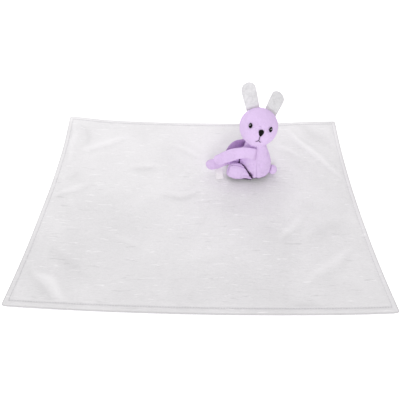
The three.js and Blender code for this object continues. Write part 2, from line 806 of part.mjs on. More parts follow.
// The near arm arches over the near leg and ends over the far one.
const nearStart = shoulder(-1, neckHeight - shoulderDrop);
const nearEnds = [-gripLength, 0, gripLength].map((along) => alongClasp(along, stackRise, claspShift));
const nearArch = [0.3, 0.62].map((share) => {
  const arch = Math.sin(Math.PI * share);
  return nearStart.clone().lerp(nearEnds[0], share).add(vector(0, -armBow * arch, armRise * arch));
});
const armLeft = arm("arm_left", -1, [nearStart, ...nearArch, ...nearEnds], armLean, armRight.taken);

// The two halves of the fastening, on the faces that meet
function fasteningPatch(rise) {
  const [x, y, corner] = [patchWidth / 2, patchLength / 2, 2.5];
  const shape = new THREE.Shape();
  shape.absarc(x - corner, y - corner, corner, 0, Math.PI / 2, false);
  shape.absarc(corner - x, y - corner, corner, Math.PI / 2, Math.PI, false);
  shape.absarc(corner - x, corner - y, corner, Math.PI, 1.5 * Math.PI, false);
  shape.absarc(x - corner, corner - y, corner, 1.5 * Math.PI, 2 * Math.PI, false);
  const pad = new THREE.ExtrudeGeometry(shape, {
    depth: patchThickness,
    bevelEnabled: false,
    curveSegments: 2,
  });
  const across = claspFrame.out.clone().cross(claspFrame.along).negate();
  const frame = new THREE.Matrix4().makeBasis(across, claspFrame.along, claspFrame.out);
  frame.setPosition(alongClasp(gripLength / 2, rise, claspShift / 2));
  return placedSolid(pad, frame);
}

const hookRise = clearance / 2 + armLayer + clearance;
const loopRise = hookRise + patchThickness + clearance;
piece(armRight.group, "hook_patch", armRight.settle(fasteningPatch(hookRise)), tape);
piece(armLeft.group, "loop_patch", armLeft.settle(fasteningPatch(loopRise)), tape);

// The blank care label, sewn into the far arm's lower edge at a slant, so that it hangs down
function careLabel() {
  const steps = 6;
  const row = (offset) => {
    return Array.from({ length: steps + 1 }, (_, i) => {
      const down = -labelWidth + ((labelLength + labelWidth) * i) / steps;
      const bend = labelCurl * Math.sin((Math.PI * Math.max(0, down)) / labelLength);
      return new THREE.Vector2(bend + offset, -down);
    });
  };
  const side = new THREE.Shape([...row(labelThickness / 2), ...row(-labelThickness / 2).reverse()]);
  const sheet = new THREE.ExtrudeGeometry(side, { depth: labelWidth, bevelEnabled: false });
  return sheet.translate(0, 0, -labelWidth / 2);
}

const labelTop = alongClasp(labelAlong, 0).addScaledVector(claspFrame.across, -armWidth / 2 - clearance);
const labelGroup = hinged(armRight.group, labelTop.clone().sub(armRight.pivot));
const labelDown = vector(0, 0, -1)
  .applyAxisAngle(vector(1, 0, 0), -radians(labelSwing))
  .applyAxisAngle(vector(0, 1, 0), -radians(labelSlant));
const labelAxis = vector(-1, 0, 0).addScaledVector(labelDown, labelDown.x).normalize();
const labelOut = labelAxis.clone().cross(labelDown);
const labelFrame = new THREE.Matrix4().makeBasis(labelOut, labelDown.clone().negate(), labelAxis);
const belowEdge = halfSpace(vector(0, 0, 0), claspFrame.across.clone().negate());
const labelSolid = placedSolid(careLabel(), labelFrame).intersect(belowEdge);
piece(labelGroup, "care_label", geometryOf(labelSolid), satin);

export default part;
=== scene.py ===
"""The looks of a puppy blanket with a plush rabbit sitting on it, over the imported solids.

Lengths are millimetres until a mesh is made. The origin is the middle of the blanket's underside, +X runs
along its width, +Y to its back edge and +Z up. The toy's own frame has its origin under the seat's middle.
"""
import math

import bmesh
import bpy
import numpy as np
from bpy.props import FloatProperty, FloatVectorProperty, PointerProperty
from bpy.types import Operator, Panel, PropertyGroup
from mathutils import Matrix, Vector


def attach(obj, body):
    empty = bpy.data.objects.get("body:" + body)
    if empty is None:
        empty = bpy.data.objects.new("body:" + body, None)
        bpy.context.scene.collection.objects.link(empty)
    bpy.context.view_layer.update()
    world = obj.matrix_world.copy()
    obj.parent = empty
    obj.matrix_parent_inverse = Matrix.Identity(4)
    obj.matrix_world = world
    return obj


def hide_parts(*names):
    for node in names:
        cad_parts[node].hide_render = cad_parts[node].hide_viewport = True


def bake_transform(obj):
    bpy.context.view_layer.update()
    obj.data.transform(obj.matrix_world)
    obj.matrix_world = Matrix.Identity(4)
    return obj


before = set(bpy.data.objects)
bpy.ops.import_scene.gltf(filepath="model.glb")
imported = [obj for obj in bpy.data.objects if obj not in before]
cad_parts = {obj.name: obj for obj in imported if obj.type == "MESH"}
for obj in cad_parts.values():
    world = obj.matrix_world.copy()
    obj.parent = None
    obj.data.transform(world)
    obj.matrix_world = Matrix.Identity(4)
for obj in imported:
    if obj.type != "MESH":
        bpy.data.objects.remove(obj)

bl_info = {
    "name": "Puppy blanket with plush rabbit",
    "version": (1, 0, 0),
    "blender": (4, 5, 0),
    "location": "View3D > Sidebar > Blanket",
    "description": "Builds the blanket, the plush rabbit and a studio stage round the packed solids",
    "category": "Object",
}

MM = 0.001
# Large odd numbers that scatter a lattice's corners
LATTICE = np.array([73856093, 19349663, 83492791])
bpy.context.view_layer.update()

# Blanket
WIDTH, DEPTH = 750.0, 500.0
SIDE_DRAW, BACK_DRAW, FRONT_BOW = 13.0, 14.0, 8.0
CORNER = 5.0
BACKING_TOP = 3.0
FACE_BOTTOM = 3.3
HEM = 10.0
HEM_RISE = 9.0
HOLLOW_LEVEL = 5.5
NEST_LEVEL = 7.0
NEST_LENGTH, NEST_WIDTH = 255.0, 150.0

# Toy
SEAT = np.array([132.0, 76.0, 7.6])
LEAN = np.array([-6.0, 12.0])
TORSO = {"base": 20.0, "bulge": 38.5, "bulge_at": 22.0, "neck": 22.0, "neck_at": 105.0, "dome": 8.0}
LEG = {"base": 11.0, "bulge": 19.0, "bulge_at": 22.0, "neck": 12.0, "neck_at": 57.0, "dome": 8.0}
COVER = 1.6
HEAD = np.array([84.5, 82.0, 87.0])
HEAD_CROWN = 0.04
HEAD_TURN = (-6.0, -31.5, 6.5)
EYE_SIDE, EYE_RISE = 31.0, 11.0
EYE_SIZE = (9.6, 11.2, 1.5)
GLINT_SIZE = (2.6, 2.4, 0.45)
NOSE_SIDE, NOSE_RISE = 4.8, -2.0
NOSE_SIZE = (13.0, 14.5, 1.7)
MOUTH_TOP, MOUTH_FORK, MOUTH_END, MOUTH_SPREAD = -11.5, -28.0, -34.0, 9.0
EAR_LENGTH, EAR_WIDTH, EAR_BASE, EAR_THICKNESS = 58.0, 33.0, 29.5, 5.6
EAR_BACK = 14.0
ARM_WIDTH, ARM_LAYER, ARM_LEAN = 29.0, 2.5, 20.0
NEAR_SHOULDER, FAR_SHOULDER, SHOULDER_FORWARD = 82.0, 67.0, 5.0
CLASP = np.array([-82.0, -6.0, 40.0])
CLASP_DROP, HAND_DROP = 36.0, 19.0
GRIP, HAND = 14.0, 44.0
STACK_RISE, CLASP_SHIFT = 8.4, 10.0
LABEL_WIDTH, LABEL_LENGTH, LABEL_CURL = 18.0, 26.0, 3.0
LABEL_ALONG, LABEL_SWING, LABEL_SLANT = 20.0, 54.0, 12.0
FOOT_X, HIP_X, LEG_MIDDLE, HIP_SPREAD, HIP_HEIGHT = -46.0, -7.0, -3.0, 24.0, 11.0
FOOT_WIDTH, FOOT_HEIGHT, LEG_SETTLE, LEG_CREASE = 38.0, 46.0, 1.2, 0.6
TAIL_SIZE = np.array([24.0, 24.0, 23.0])
TAIL_PLACE = np.array([41.0, -9.0, 13.5])
GAP = 0.3

# Each ear's name, side, spread from the crown, inward tilt and backward lean
EARS = (("ear_right", -1.0, 28.0, 5.0, 0.0), ("ear_left", 1.0, 26.0, 4.0, 30.0))
# Places on the far arm's run: the share of the way to the clasp, and their Y and Z
FAR_RUN = ((0.36, 33.0, 60.0), (0.66, 16.0, 65.0))
# Shares of the near arm's way at which it arches, and how far
NEAR_ARCH, NEAR_RISE = (0.3, 0.62), np.array([0.0, -5.0, 17.0])
ROOT_SLANT, ROOT_REACH = 8.0, 40.0

# Rows and columns of the covers: as they are filled and as they are drawn
TORSO_FILL, TORSO_GRID = (40, 48), (120, 192)
HEAD_FILL, HEAD_GRID = (37, 48), (145, 192)
LEG_FILL, LEG_GRID = (34, 40), (110, 160)
TAIL_GRID = (50, 72)
LAYER_COLUMNS, ARM_ROWS = 44, 150
FILL_FRAMES = 20
# Near-black painted shadow for the gaps between parts that lie in shade
GAP_SHADOW_COLOUR = (0.035, 0.016, 0.045, 1.0)
WHITE, BLACK = (1.0, 1.0, 1.0, 1.0), (0.0, 0.0, 0.0, 1.0)
UP = np.array([0.0, 0.0, 1.0])

# Stage: the floor in millimetres, the lights and the camera in metres and degrees
FLOOR_REACH, FLOOR_LEVEL = 4000.0, -0.5
LIGHT_AIM = Vector((0.1, 0.05, 0.05))
KEY_PLACE, KEY_SIZE = (-0.1, 0.7, 0.7), 1.6
FILL_PLACE, FILL_SIZE = (-0.4, -4.9, 3.2), 3.0
CAMERA_PLACE = (0.0043861, -0.4486247, 0.7140968)
CAMERA_TURN = (42.3696, -0.0824, 0.9912)
LENS, SENSOR, LENS_SHIFT = 31.5, 36.0, -0.167


def smooth(share):
    """Eases a share from 0 to 1: three times its square less twice its cube, held at both ends."""
    held = np.clip(share, 0.0, 1.0)
    return held * held * (3.0 - 2.0 * held)


def unit(vectors):
    """Vectors divided by their lengths."""
    return vectors / np.maximum(np.linalg.norm(vectors, axis=-1, keepdims=True), 1e-9)


def bell(distance, width):
    """A bell over a distance: e to the minus square of the distance over the width."""
    return np.exp(-((distance / width) ** 2))


def arc(share):
    """The height of a half circle at a share of its radius: the root of one less the share squared."""
    return np.sqrt(np.clip(1.0 - share**2, 0.0, 1.0))


def full_turn(count):
    """Angles at equal steps of a full turn."""
    return np.linspace(0.0, 2.0 * math.pi, count, endpoint=False)


def turned(axis, degrees):
    """The matrix that turns about an axis: the identity, plus the sine times the axis's cross matrix,
    plus one less the cosine times that matrix squared."""
    x, y, z = unit(np.asarray(axis, float))
    cross = np.array([[0.0, -z, y], [z, 0.0, -x], [-y, x, 0.0]])
    angle = math.radians(degrees)
    return np.eye(3) + math.sin(angle) * cross + (1.0 - math.cos(angle)) * cross @ cross


def tufts(points, size, seed):
    """Soft lumps of a size in millimetres, from -1 to 1: a random number at each corner of a lattice,
    eased between the eight corners round a point."""
    spots = np.asarray(points) / size
    cells = np.floor(spots).astype(np.int64)
    share = smooth(spots - cells)
    total = 0.0
    for corner in np.ndindex(2, 2, 2):
        near = np.array(corner)
        place = (cells + near) % 65536
        mixed = np.bitwise_xor.reduce(place * LATTICE, axis=-1) ^ seed * 2654435
        mixed = (mixed ^ (mixed >> 13)) * 1274126177 % 4294967296
        mixed = (mixed ^ (mixed >> 16)) % 65536
        weight = np.prod(np.where(near, share, 1.0 - share), axis=-1)
        total = total + weight * (mixed / 32767.5 - 1.0)
    return total


def spline(values, count, closed=False):
    """Values along the first axis, drawn finer: a Catmull-Rom cubic through each four neighbours."""
    values = np.asarray(values, float)
    size = len(values)
    spans = size if closed else size - 1
    place = np.arange(count) * spans / (count if closed else count - 1)
    first = np.minimum(place.astype(int), spans - 1)
    share = (place - first).reshape((-1,) + (1,) * (values.ndim - 1))

    def near(step):
        spot = first + step
        return values[spot % size] if closed else values[np.clip(spot, 0, size - 1)]

    before, start, end, after = near(-1), near(0), near(1), near(2)
    slope = end - before
    rise = 2.0 * before - 5.0 * start + 4.0 * end - after
    bend = 3.0 * (start - end) + after - before
    return start + 0.5 * share * (slope + share * (rise + share * bend))


def even(points, count):
    """Points along a polyline at equal steps of its length."""
    steps = np.linalg.norm(np.diff(points, axis=0), axis=1)
    run = np.concatenate([[0.0], np.cumsum(steps)])
    spots = np.linspace(0.0, run[-1], count)
    return np.stack([np.interp(spots, run, points[:, k]) for k in range(points.shape[1])], axis=1)


def grid_normals(grid, closed=True):
    """Directions out of a grid: the cross product of its two differences. A pole takes its ring's mean."""
    down = np.gradient(grid, axis=0)
    if closed:
        over = np.roll(grid, -1, axis=1) - np.roll(grid, 1, axis=1)
    else:
        over = np.gradient(grid, axis=1)
    normals = np.cross(down, over)
    for end, ring in ((0, 1), (-1, -2)):
        if np.ptp(grid[end], axis=0).max() < 1e-6:
            normals[end] = normals[ring].mean(axis=0)
    normals = unit(normals)
    middle = grid.reshape(-1, 3).mean(axis=0)
    inwards = np.sum(normals * (grid - middle)) < 0.0
    return -normals if inwards else normals


def grid_faces(rows, columns, closed=False):
    """The quads of a grid that is stored row by row, joined round its columns if closed."""
    row = np.arange(rows - 1)[:, None]
    column = np.arange(columns if closed else columns - 1)[None, :]
    after = (column + 1) % columns
    corners = [row * columns + column, row * columns + after]
    corners += [(row + 1) * columns + after, (row + 1) * columns + column]
    return np.stack(corners, axis=-1).reshape(-1, 4)


def make_piece(name, points, faces, material, painted_shading=None, inside=None, inward=0.0):
    """A mesh object in the shared frame. Doubles are merged first. A closed piece has its faces turned
    outwards; an open one turns them away from the inside point and gets a wall of the inward thickness."""
    points = np.asarray(points, float).reshape(-1, 3)
    if inside is not None:
        corners = points[faces]
        facing = np.cross(corners[:, 2] - corners[:, 0], corners[:, 3] - corners[:, 1])
        if np.sum(facing * (corners.mean(axis=1) - inside)) < 0.0:
            faces = faces[:, ::-1]
    mesh = bpy.data.meshes.new(name)
    mesh.from_pydata((points * MM).tolist(), [], faces.tolist())
    # The painted shading per point: painted shade above 0, painted highlight below 0
    if painted_shading is not None:
        layer = mesh.attributes.new("painted_shading", "FLOAT", "POINT")
        layer.data.foreach_set("value", np.asarray(painted_shading, np.float32).ravel())
    shape = bmesh.new()
    shape.from_mesh(mesh)
    bmesh.ops.remove_doubles(shape, verts=shape.verts, dist=1e-6)
    if inside is None:
        bmesh.ops.recalc_face_normals(shape, faces=shape.faces)
    shape.to_mesh(mesh)
    shape.free()
    mesh.polygons.foreach_set("use_smooth", np.ones(len(mesh.polygons), bool))
    mesh.materials.append(material)
    made = bpy.data.objects.new(name, mesh)
    bpy.context.scene.collection.objects.link(made)
    if inward:
        wall = made.modifiers.new("wall", "SOLIDIFY")
        wall.thickness = inward * MM
        wall.offset = -1.0
    return made


def settle(piece, body, nodes):
    """A finished piece rides on its body and stands for its nodes."""
    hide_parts(*nodes)
    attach(piece, body)


def bend_over(piece, nodes, start, end):
    """A finished piece that stands for its nodes, with its placement baked into its mesh; the two points
    change nothing.
    """
    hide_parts(*nodes)
    tuple(start * MM)
    tuple(end * MM)
    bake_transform(piece)


def tubes(paths, lifts, radii, sides=6):
    """Threads: at each point of each path a ring of a radius, in the plane of the lift and the side
    direction, which is the cross product of the lift and the path's step. Rings of no radius close the
    ends."""
    ahead = unit(np.gradient(paths, axis=1))
    side = unit(np.cross(lifts, ahead))
    up = np.cross(ahead, side)
    angle = full_turn(sides)
    around = np.cos(angle)[:, None] * side[:, :, None, :] + np.sin(angle)[:, None] * up[:, :, None, :]
    rings = paths[:, :, None, :] + radii[:, :, None, None] * around
    count, length = paths.shape[:2]
    faces = grid_faces(length, sides, closed=True)
    shift = np.arange(count)[:, None, None] * (length * sides)
    return rings.reshape(-1, 3), (faces[None] + shift).reshape(-1, 4)


def plump(grid, pinned, most):
    """Fills a closed cover: the cloth of a grid is blown up from inside for a few steps, with its seam
    rows held, and no point moves further than most."""
    flat = grid.reshape(-1, 3)
    spots, first, back = np.unique(np.round(flat, 3), axis=0, return_index=True, return_inverse=True)
    back = back.ravel()
    quads = back[grid_faces(*grid.shape[:2], closed=True)]
    faces = [list(dict.fromkeys(quad)) for quad in quads.tolist()]
    mesh = bpy.data.meshes.new("cover")
    mesh.from_pydata((spots * MM).tolist(), [], [face for face in faces if len(face) > 2])
    shape = bmesh.new()
    shape.from_mesh(mesh)
    bmesh.ops.recalc_face_normals(shape, faces=shape.faces)
    shape.to_mesh(mesh)
    shape.free()
    cover = bpy.data.objects.new("cover", mesh)
    scene = bpy.context.scene
    scene.collection.objects.link(cover)
    held = cover.vertex_groups.new(name="held")
    held.add(np.flatnonzero(pinned.ravel()[first]).tolist(), 1.0, "REPLACE")
    cloth = cover.modifiers.new("fill", "CLOTH")
    cloth.settings.quality = 5
    cloth.settings.mass = 0.05
    cloth.settings.use_pressure = True
    cloth.settings.uniform_pressure_force = 4.0
    cloth.settings.shrink_min = -0.05
    cloth.settings.vertex_group_mass = "held"
    cloth.settings.effector_weights.gravity = 0.0
    cloth.collision_settings.use_collision = False
    for number in range(1, FILL_FRAMES + 1):
        scene.frame_set(number)
    seen = cover.evaluated_get(bpy.context.evaluated_depsgraph_get())
    moved = np.empty(3 * len(spots), np.float32)
    seen.data.vertices.foreach_get("co", moved)
    scene.frame_set(1)
    bpy.data.objects.remove(cover)
    bpy.data.meshes.remove(mesh)
    step = moved.reshape(-1, 3) / MM - spots
    far = np.linalg.norm(step, axis=1, keepdims=True)
    capped = step * np.minimum(1.0, most / np.maximum(far, 1e-6))
    return (spots + capped)[back].reshape(grid.shape)


def finer(grid, rows, columns):
    """A closed grid drawn finer both ways with cubics."""
    long = spline(grid, rows)
    return np.swapaxes(spline(np.swapaxes(long, 0, 1), columns, closed=True), 0, 1)


def pear(size, count):
    """Radius and height along a pear's side at equal steps. A flat base runs into a quarter wave out to the
    bulge, half a cosine wave takes it in to the neck, and a quarter ellipse closes it on top."""
    turn = np.linspace(0.0, math.pi / 2.0, 40)
    share = np.linspace(0.0, 1.0, 60)[1:]
    bulge = size["base"] + (size["bulge"] - size["base"]) * np.sin(turn)
    waist = size["neck"] + (size["bulge"] - size["neck"]) * (1.0 + np.cos(math.pi * share)) / 2.0
    radius = np.concatenate([[0.0], bulge, waist, size["neck"] * np.cos(turn[1:])])
    height = np.concatenate([[0.0], size["bulge_at"] * (1.0 - np.cos(turn))])
    height = np.concatenate([height, size["bulge_at"] + (size["neck_at"] - size["bulge_at"]) * share])
    height = np.concatenate([height, size["neck_at"] + size["dome"] * np.sin(turn[1:])])
    return even(np.stack([radius, height], axis=1), count)


def lean_at(height):
    """How far the torso's middle stands off the seat's middle at a height: its lean, eased up to the neck."""
    return smooth(np.asarray(height)[..., None] / TORSO["neck_at"]) * LEAN


def torso_radius(height):
    """The torso's radius at a height, read off its profile."""
    side = pear(TORSO, 300)[12:]
    order = np.argsort(side[:, 1], kind="stable")
    return np.interp(height, side[order, 1], side[order, 0])


def torso_clearance(points):
    """How far points of the toy's frame stand off the torso, measured level."""
    return np.linalg.norm(points[..., :2] - lean_at(points[..., 2]), axis=-1) - torso_radius(points[..., 2])


def clear_of_torso(points, gap):
    """Points of the toy's frame moved straight out from the torso's middle line until they clear it."""
    middle = lean_at(points[..., 2])
    away = points[..., :2] - middle
    reach = np.linalg.norm(away, axis=-1)
    top = TORSO["neck_at"] + TORSO["dome"]
    need = np.where((points[..., 2] > 0.0) & (points[..., 2] < top), torso_radius(points[..., 2]) + gap, 0.0)
    factor = np.maximum(need, reach) / np.maximum(reach, 1e-6)
    return np.concatenate([middle + away * factor[..., None], points[..., 2:]], axis=-1)


def short_of_torso(points, gap, heading):
    """Points of the toy's frame inside the torso drawn back along a level heading until they clear it: the
    way from each to the circle about the middle line at its height."""
    away = points[..., :2] - lean_at(points[..., 2])
    reach = torso_radius(points[..., 2]) + gap
    room = reach**2 - np.sum(away**2, axis=-1)
    ahead = away @ heading
    way = np.where(room > 0.0, np.sqrt(np.maximum(room + ahead**2, 0.0)) - ahead, 0.0)
    return points + way[..., None] * np.append(heading, 0.0)


def plush_surface(grid, height, seed):
    """A plush cover's own relief along its normals: lumps of the filling, tufts and short pile."""
    normals = grid_normals(grid)
    lumps = ((0.8, 17.0), (0.4, 6.0), (0.5, 2.4))
    relief = sum(share * tufts(grid, size, seed + step) for step, (share, size) in enumerate(lumps))
    return grid + normals * (height * (relief - 1.0))[..., None]


class Wire:
    """A socket in a material's node tree. Arithmetic between wires and numbers adds Math nodes."""

    def __init__(self, tree, socket=None):
        self.tree = tree
        self.socket = socket

    def node(self, kind, sockets, settings=None, output=0):
        """Adds a node of a kind, with its settings first and then its sockets by name or number."""
        made = self.tree.nodes.new(kind)
        for key, value in (settings or {}).items():
            setattr(made, key, value)
        for key, value in sockets.items():
            if isinstance(value, Wire):
                self.tree.links.new(value.socket, made.inputs[key])
            else:
                made.inputs[key].default_value = value
        return Wire(self.tree, made.outputs[output])

    def math(self, operation, first, second=0.0):
        """Adds a Math node of an operation."""
        return self.node("ShaderNodeMath", {0: first, 1: second}, {"operation": operation})

    def __add__(self, other):
        return self.math("ADD", self, other)

    def __sub__(self, other):
        return self.math("SUBTRACT", self, other)

    def __rsub__(self, other):
        return self.math("SUBTRACT", other, self)

    def __mul__(self, other):
        return self.math("MULTIPLY", self, other)

    __radd__ = __add__
    __rmul__ = __mul__

    def held(self):
        """The value kept between 0 and 1."""
        return self.node("ShaderNodeClamp", {"Value": self})

    def waves(self):
        """The sine of the value."""
        return self.math("SINE", self)

    def mix(self, first, second):
        """One colour turning into another as the value goes from 0 to 1."""
        return self.node(
            "ShaderNodeMix", {0: self, 6: first, 7: second}, {"data_type": "RGBA", "clamp_factor": True}, 2)


class Finish:
    """A material with its Principled node, coordinates and noise at hand."""

    def __init__(self, name):
        self.material = bpy.data.materials.new(name)
        self.material.use_nodes = True
        tree = self.material.node_tree
        self.shader = tree.nodes["Principled BSDF"]
        self.wire = Wire(tree)
        self.place = self.wire.node("ShaderNodeTexCoord", {}, output="Object")
        # Each point's painted shading: painted shade above 0, painted highlight below 0
        self.painted_shading = self.wire.node("ShaderNodeAttribute", {}, {"attribute_name": "painted_shading"}, "Fac")

    def stretched(self, scale, turn=0.0):
        """The object's coordinates turned about Z and scaled, per metre."""
        sockets = {"Vector": self.place, "Rotation": (0.0, 0.0, turn), "Scale": scale}
        return self.wire.node("ShaderNodeMapping", sockets)

    def noise(self, scale, detail=2.0, place=None, distortion=0.0):
        """Noise from about 0 to 1, of a scale per metre, over the object's coordinates or another place."""
        sockets = {"Vector": place or self.place, "Scale": scale, "Detail": detail, "Distortion": distortion}
        return self.wire.node("ShaderNodeTexNoise", sockets)

    def finish(self, colour, roughness, height, depth, sheen=0.0, tint=WHITE):
        """Feeds the shader: colour, roughness and a bump of a height map with a depth in metres."""
        bump = self.wire.node("ShaderNodeBump", {"Distance": depth, "Height": height})
        links = self.material.node_tree.links
        for name, value in (("Base Color", colour), ("Roughness", roughness), ("Normal", bump)):
            links.new(value.socket, self.shader.inputs[name])
        self.shader.inputs["Sheen Weight"].default_value = sheen
        self.shader.inputs["Sheen Roughness"].default_value = 0.45
        self.shader.inputs["Sheen Tint"].default_value = tint
        self.shader.inputs["Specular IOR Level"].default_value = 0.12
        return self.material


def shaded(colour, factor, lift=0.0):
    """A colour made darker or lighter by a factor, with a lift towards white."""
    return tuple(min(1.0, channel * factor + lift) for channel in colour[:3]) + (1.0,)


def plush_material(name, colour, mottle):
    """Short velvety pile: tufts and single fibres vary the colour and stand up. Painted shading from 0 to 1
    is painted shade, deeper in tone, and from 1 to 2 it turns into the painted shadow of a gap."""
    look = Finish(name)
    tuft = look.noise(150.0, 3.0, distortion=0.6)
    pile = look.noise(900.0, 2.0)
    patch = look.noise(38.0, 2.0)
    tone = (0.45 * tuft + 0.35 * pile + 0.3 * patch - 0.55) * mottle + 0.55
    base = tone.held().mix(shaded(colour, 0.86), shaded(colour, 1.06))
    # Painted shade in creases, then the painted shadow of gaps, mixed in by the painted shading
    painted_shade_colour = shaded((colour[0] * 0.86, colour[1] * 0.70, colour[2] * 0.88), 0.62)
    folded = look.painted_shading.held().mix(base, painted_shade_colour)
    gap = (look.painted_shading - 1.0).held().mix(folded, GAP_SHADOW_COLOUR)
    height = 0.65 * pile + 0.5 * tuft
    return look.finish(gap, 0.86 + 0.14 * pile, height, 0.0011, 0.12, shaded(colour, 1.0))


def pile_material(name, colour):
    """Smooth silky nap: fine fibres, with short streaks across the blanket where the nap parts. Painted
    shading below 0 is a painted highlight along a fold's crest, and above 0 it is painted shade, deeper in
    tone."""
    look = Finish(name)
    patch = look.noise(7.0, 3.0, distortion=0.8)
    fibre = look.noise(1.0, 3.0, look.stretched((160.0, 520.0, 300.0), 0.12), 0.6)
    bright = look.noise(1.0, 3.0, look.stretched((34.0, 260.0, 120.0), 0.06), 0.4)
    dull = look.noise(1.0, 3.0, look.stretched((26.0, 190.0, 120.0), -0.05), 0.5)
    flecks = ((bright - 0.64) * 14.0).held()
    dips = ((dull - 0.65) * 10.0).held()
    tone = (0.5 + 0.6 * (fibre - 0.5) + 0.9 * (patch - 0.5) + 0.6 * flecks - 0.6 * dips).held()
    base = tone.mix(shaded(colour, 0.89), shaded(colour, 1.13))
    # Painted highlight along the crests, then painted shade
    with_painted_highlight = ((0.0 - look.painted_shading) * (0.55 + fibre)).held().mix(base, shaded(colour, 1.12))
    with_painted_shade = look.painted_shading.held().mix(with_painted_highlight, shaded(colour, 0.42))
    height = 0.5 * fibre + 0.35 * bright - 0.2 * dull
    return look.finish(with_painted_shade, 0.55 + 0.25 * fibre, height, 0.0016, 0.35)


def woven_material(name, colour, pitch, roughness, depth, sheen=0.1):
    """Plain weave: two crossed sine waves of the thread pitch, with slubs in the yarn."""
    look = Finish(name)
    split = look.wire.node("ShaderNodeSeparateXYZ", {"Vector": look.place})
    axes = [Wire(look.wire.tree, split.socket.node.outputs[k]) for k in range(3)]
    turns = 2.0 * math.pi / (pitch * MM)
    weave = 0.5 + 0.25 * (axes[0] * turns).waves() + 0.25 * ((axes[1] + axes[2]) * turns).waves()
    slub = look.noise(260.0, 3.0)
    tone = (0.6 * weave + 0.7 * (slub - 0.5) + 0.2).held()
    base = tone.mix(shaded(colour, 0.84), shaded(colour, 1.04))
    # Painted shade where a piece's painted shading is set: along the label's edges
    folded = look.painted_shading.held().mix(base, shaded(colour, 0.7))
    return look.finish(folded, roughness + 0.1 * slub, weave + 0.4 * slub, depth, sheen)


def thread_material(name, colour, roughness):
    """Twisted yarn: slanting strands finer than the thread, and uneven dye."""
    look = Finish(name)
    strand = look.noise(1.0, 2.0, look.stretched((900.0, 1500.0, 2600.0), 0.7))
    dye = look.noise(320.0, 2.0)
    tone = (0.7 * strand + 0.5 * dye - 0.1).held()
    base = tone.mix(shaded(colour, 0.7), shaded(colour, 1.15, 0.002))
    return look.finish(base, roughness + 0.2 * dye, strand, 0.0004, 0.05)


def fibre_material(name, colour):
    """Loose filling: matted fibres in clumps."""
    look = Finish(name)
    strands = look.noise(1.0, 4.0, look.stretched((260.0, 420.0, 300.0), 0.4), 2.0)
    clump = look.noise(60.0, 3.0)
    base = (0.6 * strands + 0.4 * clump).held().mix(shaded(colour, 0.8), shaded(colour, 1.05))
    return look.finish(base, 0.85 + 0.1 * clump, strands, 0.003, 0.2)


def finishes(context):
    """All materials by the name of their slot, made once from the colours in the panel."""
    blanket, rabbit = context.scene.blanket_look, context.scene.rabbit_look
    makers = {
        "pile_white": lambda name: pile_material(name, blanket.pile_colour),
        "backing_white": lambda name: woven_material(name, blanket.backing_colour, 1.3, 0.85, 0.0004),
        "thread_white": lambda name: thread_material(name, blanket.stitch_colour, 0.6),
        "plush_lilac": lambda name: plush_material(name, rabbit.plush_colour, 1.0),
        "plush_white": lambda name: plush_material(name, rabbit.ear_colour, 4.0),
        "thread_lilac": lambda name: thread_material(name, shaded(rabbit.plush_colour, 0.75), 0.7),
        "thread_black": lambda name: thread_material(name, rabbit.face_colour, 0.45),
        "fibre": lambda name: fibre_material(name, (0.86, 0.85, 0.84)),
        "tape": lambda name: woven_material(name, shaded(rabbit.plush_colour, 0.9), 0.8, 0.75, 0.0006),
        "satin": lambda name: woven_material(name, rabbit.label_colour, 0.45, 0.4, 0.00012, 0.2),
    }
    made = {slot: bpy.data.materials.get(f"{slot}_finish") for slot in makers}
    return {slot: made[slot] or make(f"{slot}_finish") for slot, make in makers.items()}


def drawn_in(x, y):
    """A place of the cut rectangle where it lies: the corners are blunted, each side moves in by its draw, in
    a parabola between the corners, and the front edge bows out the same way. A corner's square turns into a
    quarter disc: its places move in by the ratio of their larger side to their distance."""
    past = np.stack([np.abs(x) - WIDTH / 2.0, np.abs(y) - DEPTH / 2.0]) + CORNER
    past = np.maximum(past, 0.0)
    drawn = past * (1.0 - past.max(axis=0) / np.maximum(np.hypot(*past), 1e-6))
    x, y = x - np.sign(x) * drawn[0], y - np.sign(y) * drawn[1]
    u, v = 2.0 * x / WIDTH, 2.0 * y / DEPTH
    inwards = np.where(v > 0.0, BACK_DRAW, -FRONT_BOW)
    return x - u * SIDE_DRAW * (1.0 - v * v), y - np.abs(v) * v * inwards * (1.0 - u * u)


# Folds of the pile face: both ends, half width and height. A negative height is a dip.
FOLDS = [
    ((-346, -174), (-246, -234), 12, 5.0), ((-352, -231), (-372, -180), 10, 2.5),
    ((238, 220), (357, 56), 14, 4.0), ((208, 166), (264, 122), 11, 2.5),
    ((270, 232), (352, 150), 12, -2.0), ((-325, 129), (-209, 187), 14, 3.5),
    ((-362, 225), (-350, 93), 13, 3.0), ((-338, 215), (-290, 120), 12, -2.0),
    ((-355, -3), (-275, 33), 13, 3.0), ((-340, 40), (-300, 60), 12, -1.5),
    ((177, -104), (244, -55), 14, 3.0), ((220, -180), (332, -122), 15, 3.0),
    ((230, -120), (330, -70), 14, -1.5), ((168, -243), (266, -241), 12, -2.5),
    ((-102, -12), (-2, -9), 9, -1.6), ((-100, 6), (-6, 8), 10, 1.2),
    ((-190, 71), (-104, 74), 10, -1.5), ((-186, 90), (-110, 92), 11, 1.4),
    ((-84, 170), (3, 117), 13, 2.2), ((-320, -140), (-225, -205), 13, -2.0),
    ((-30, -150), (60, -125), 16, 1.4), ((-210, -90), (-120, -130), 16, 1.3),
]


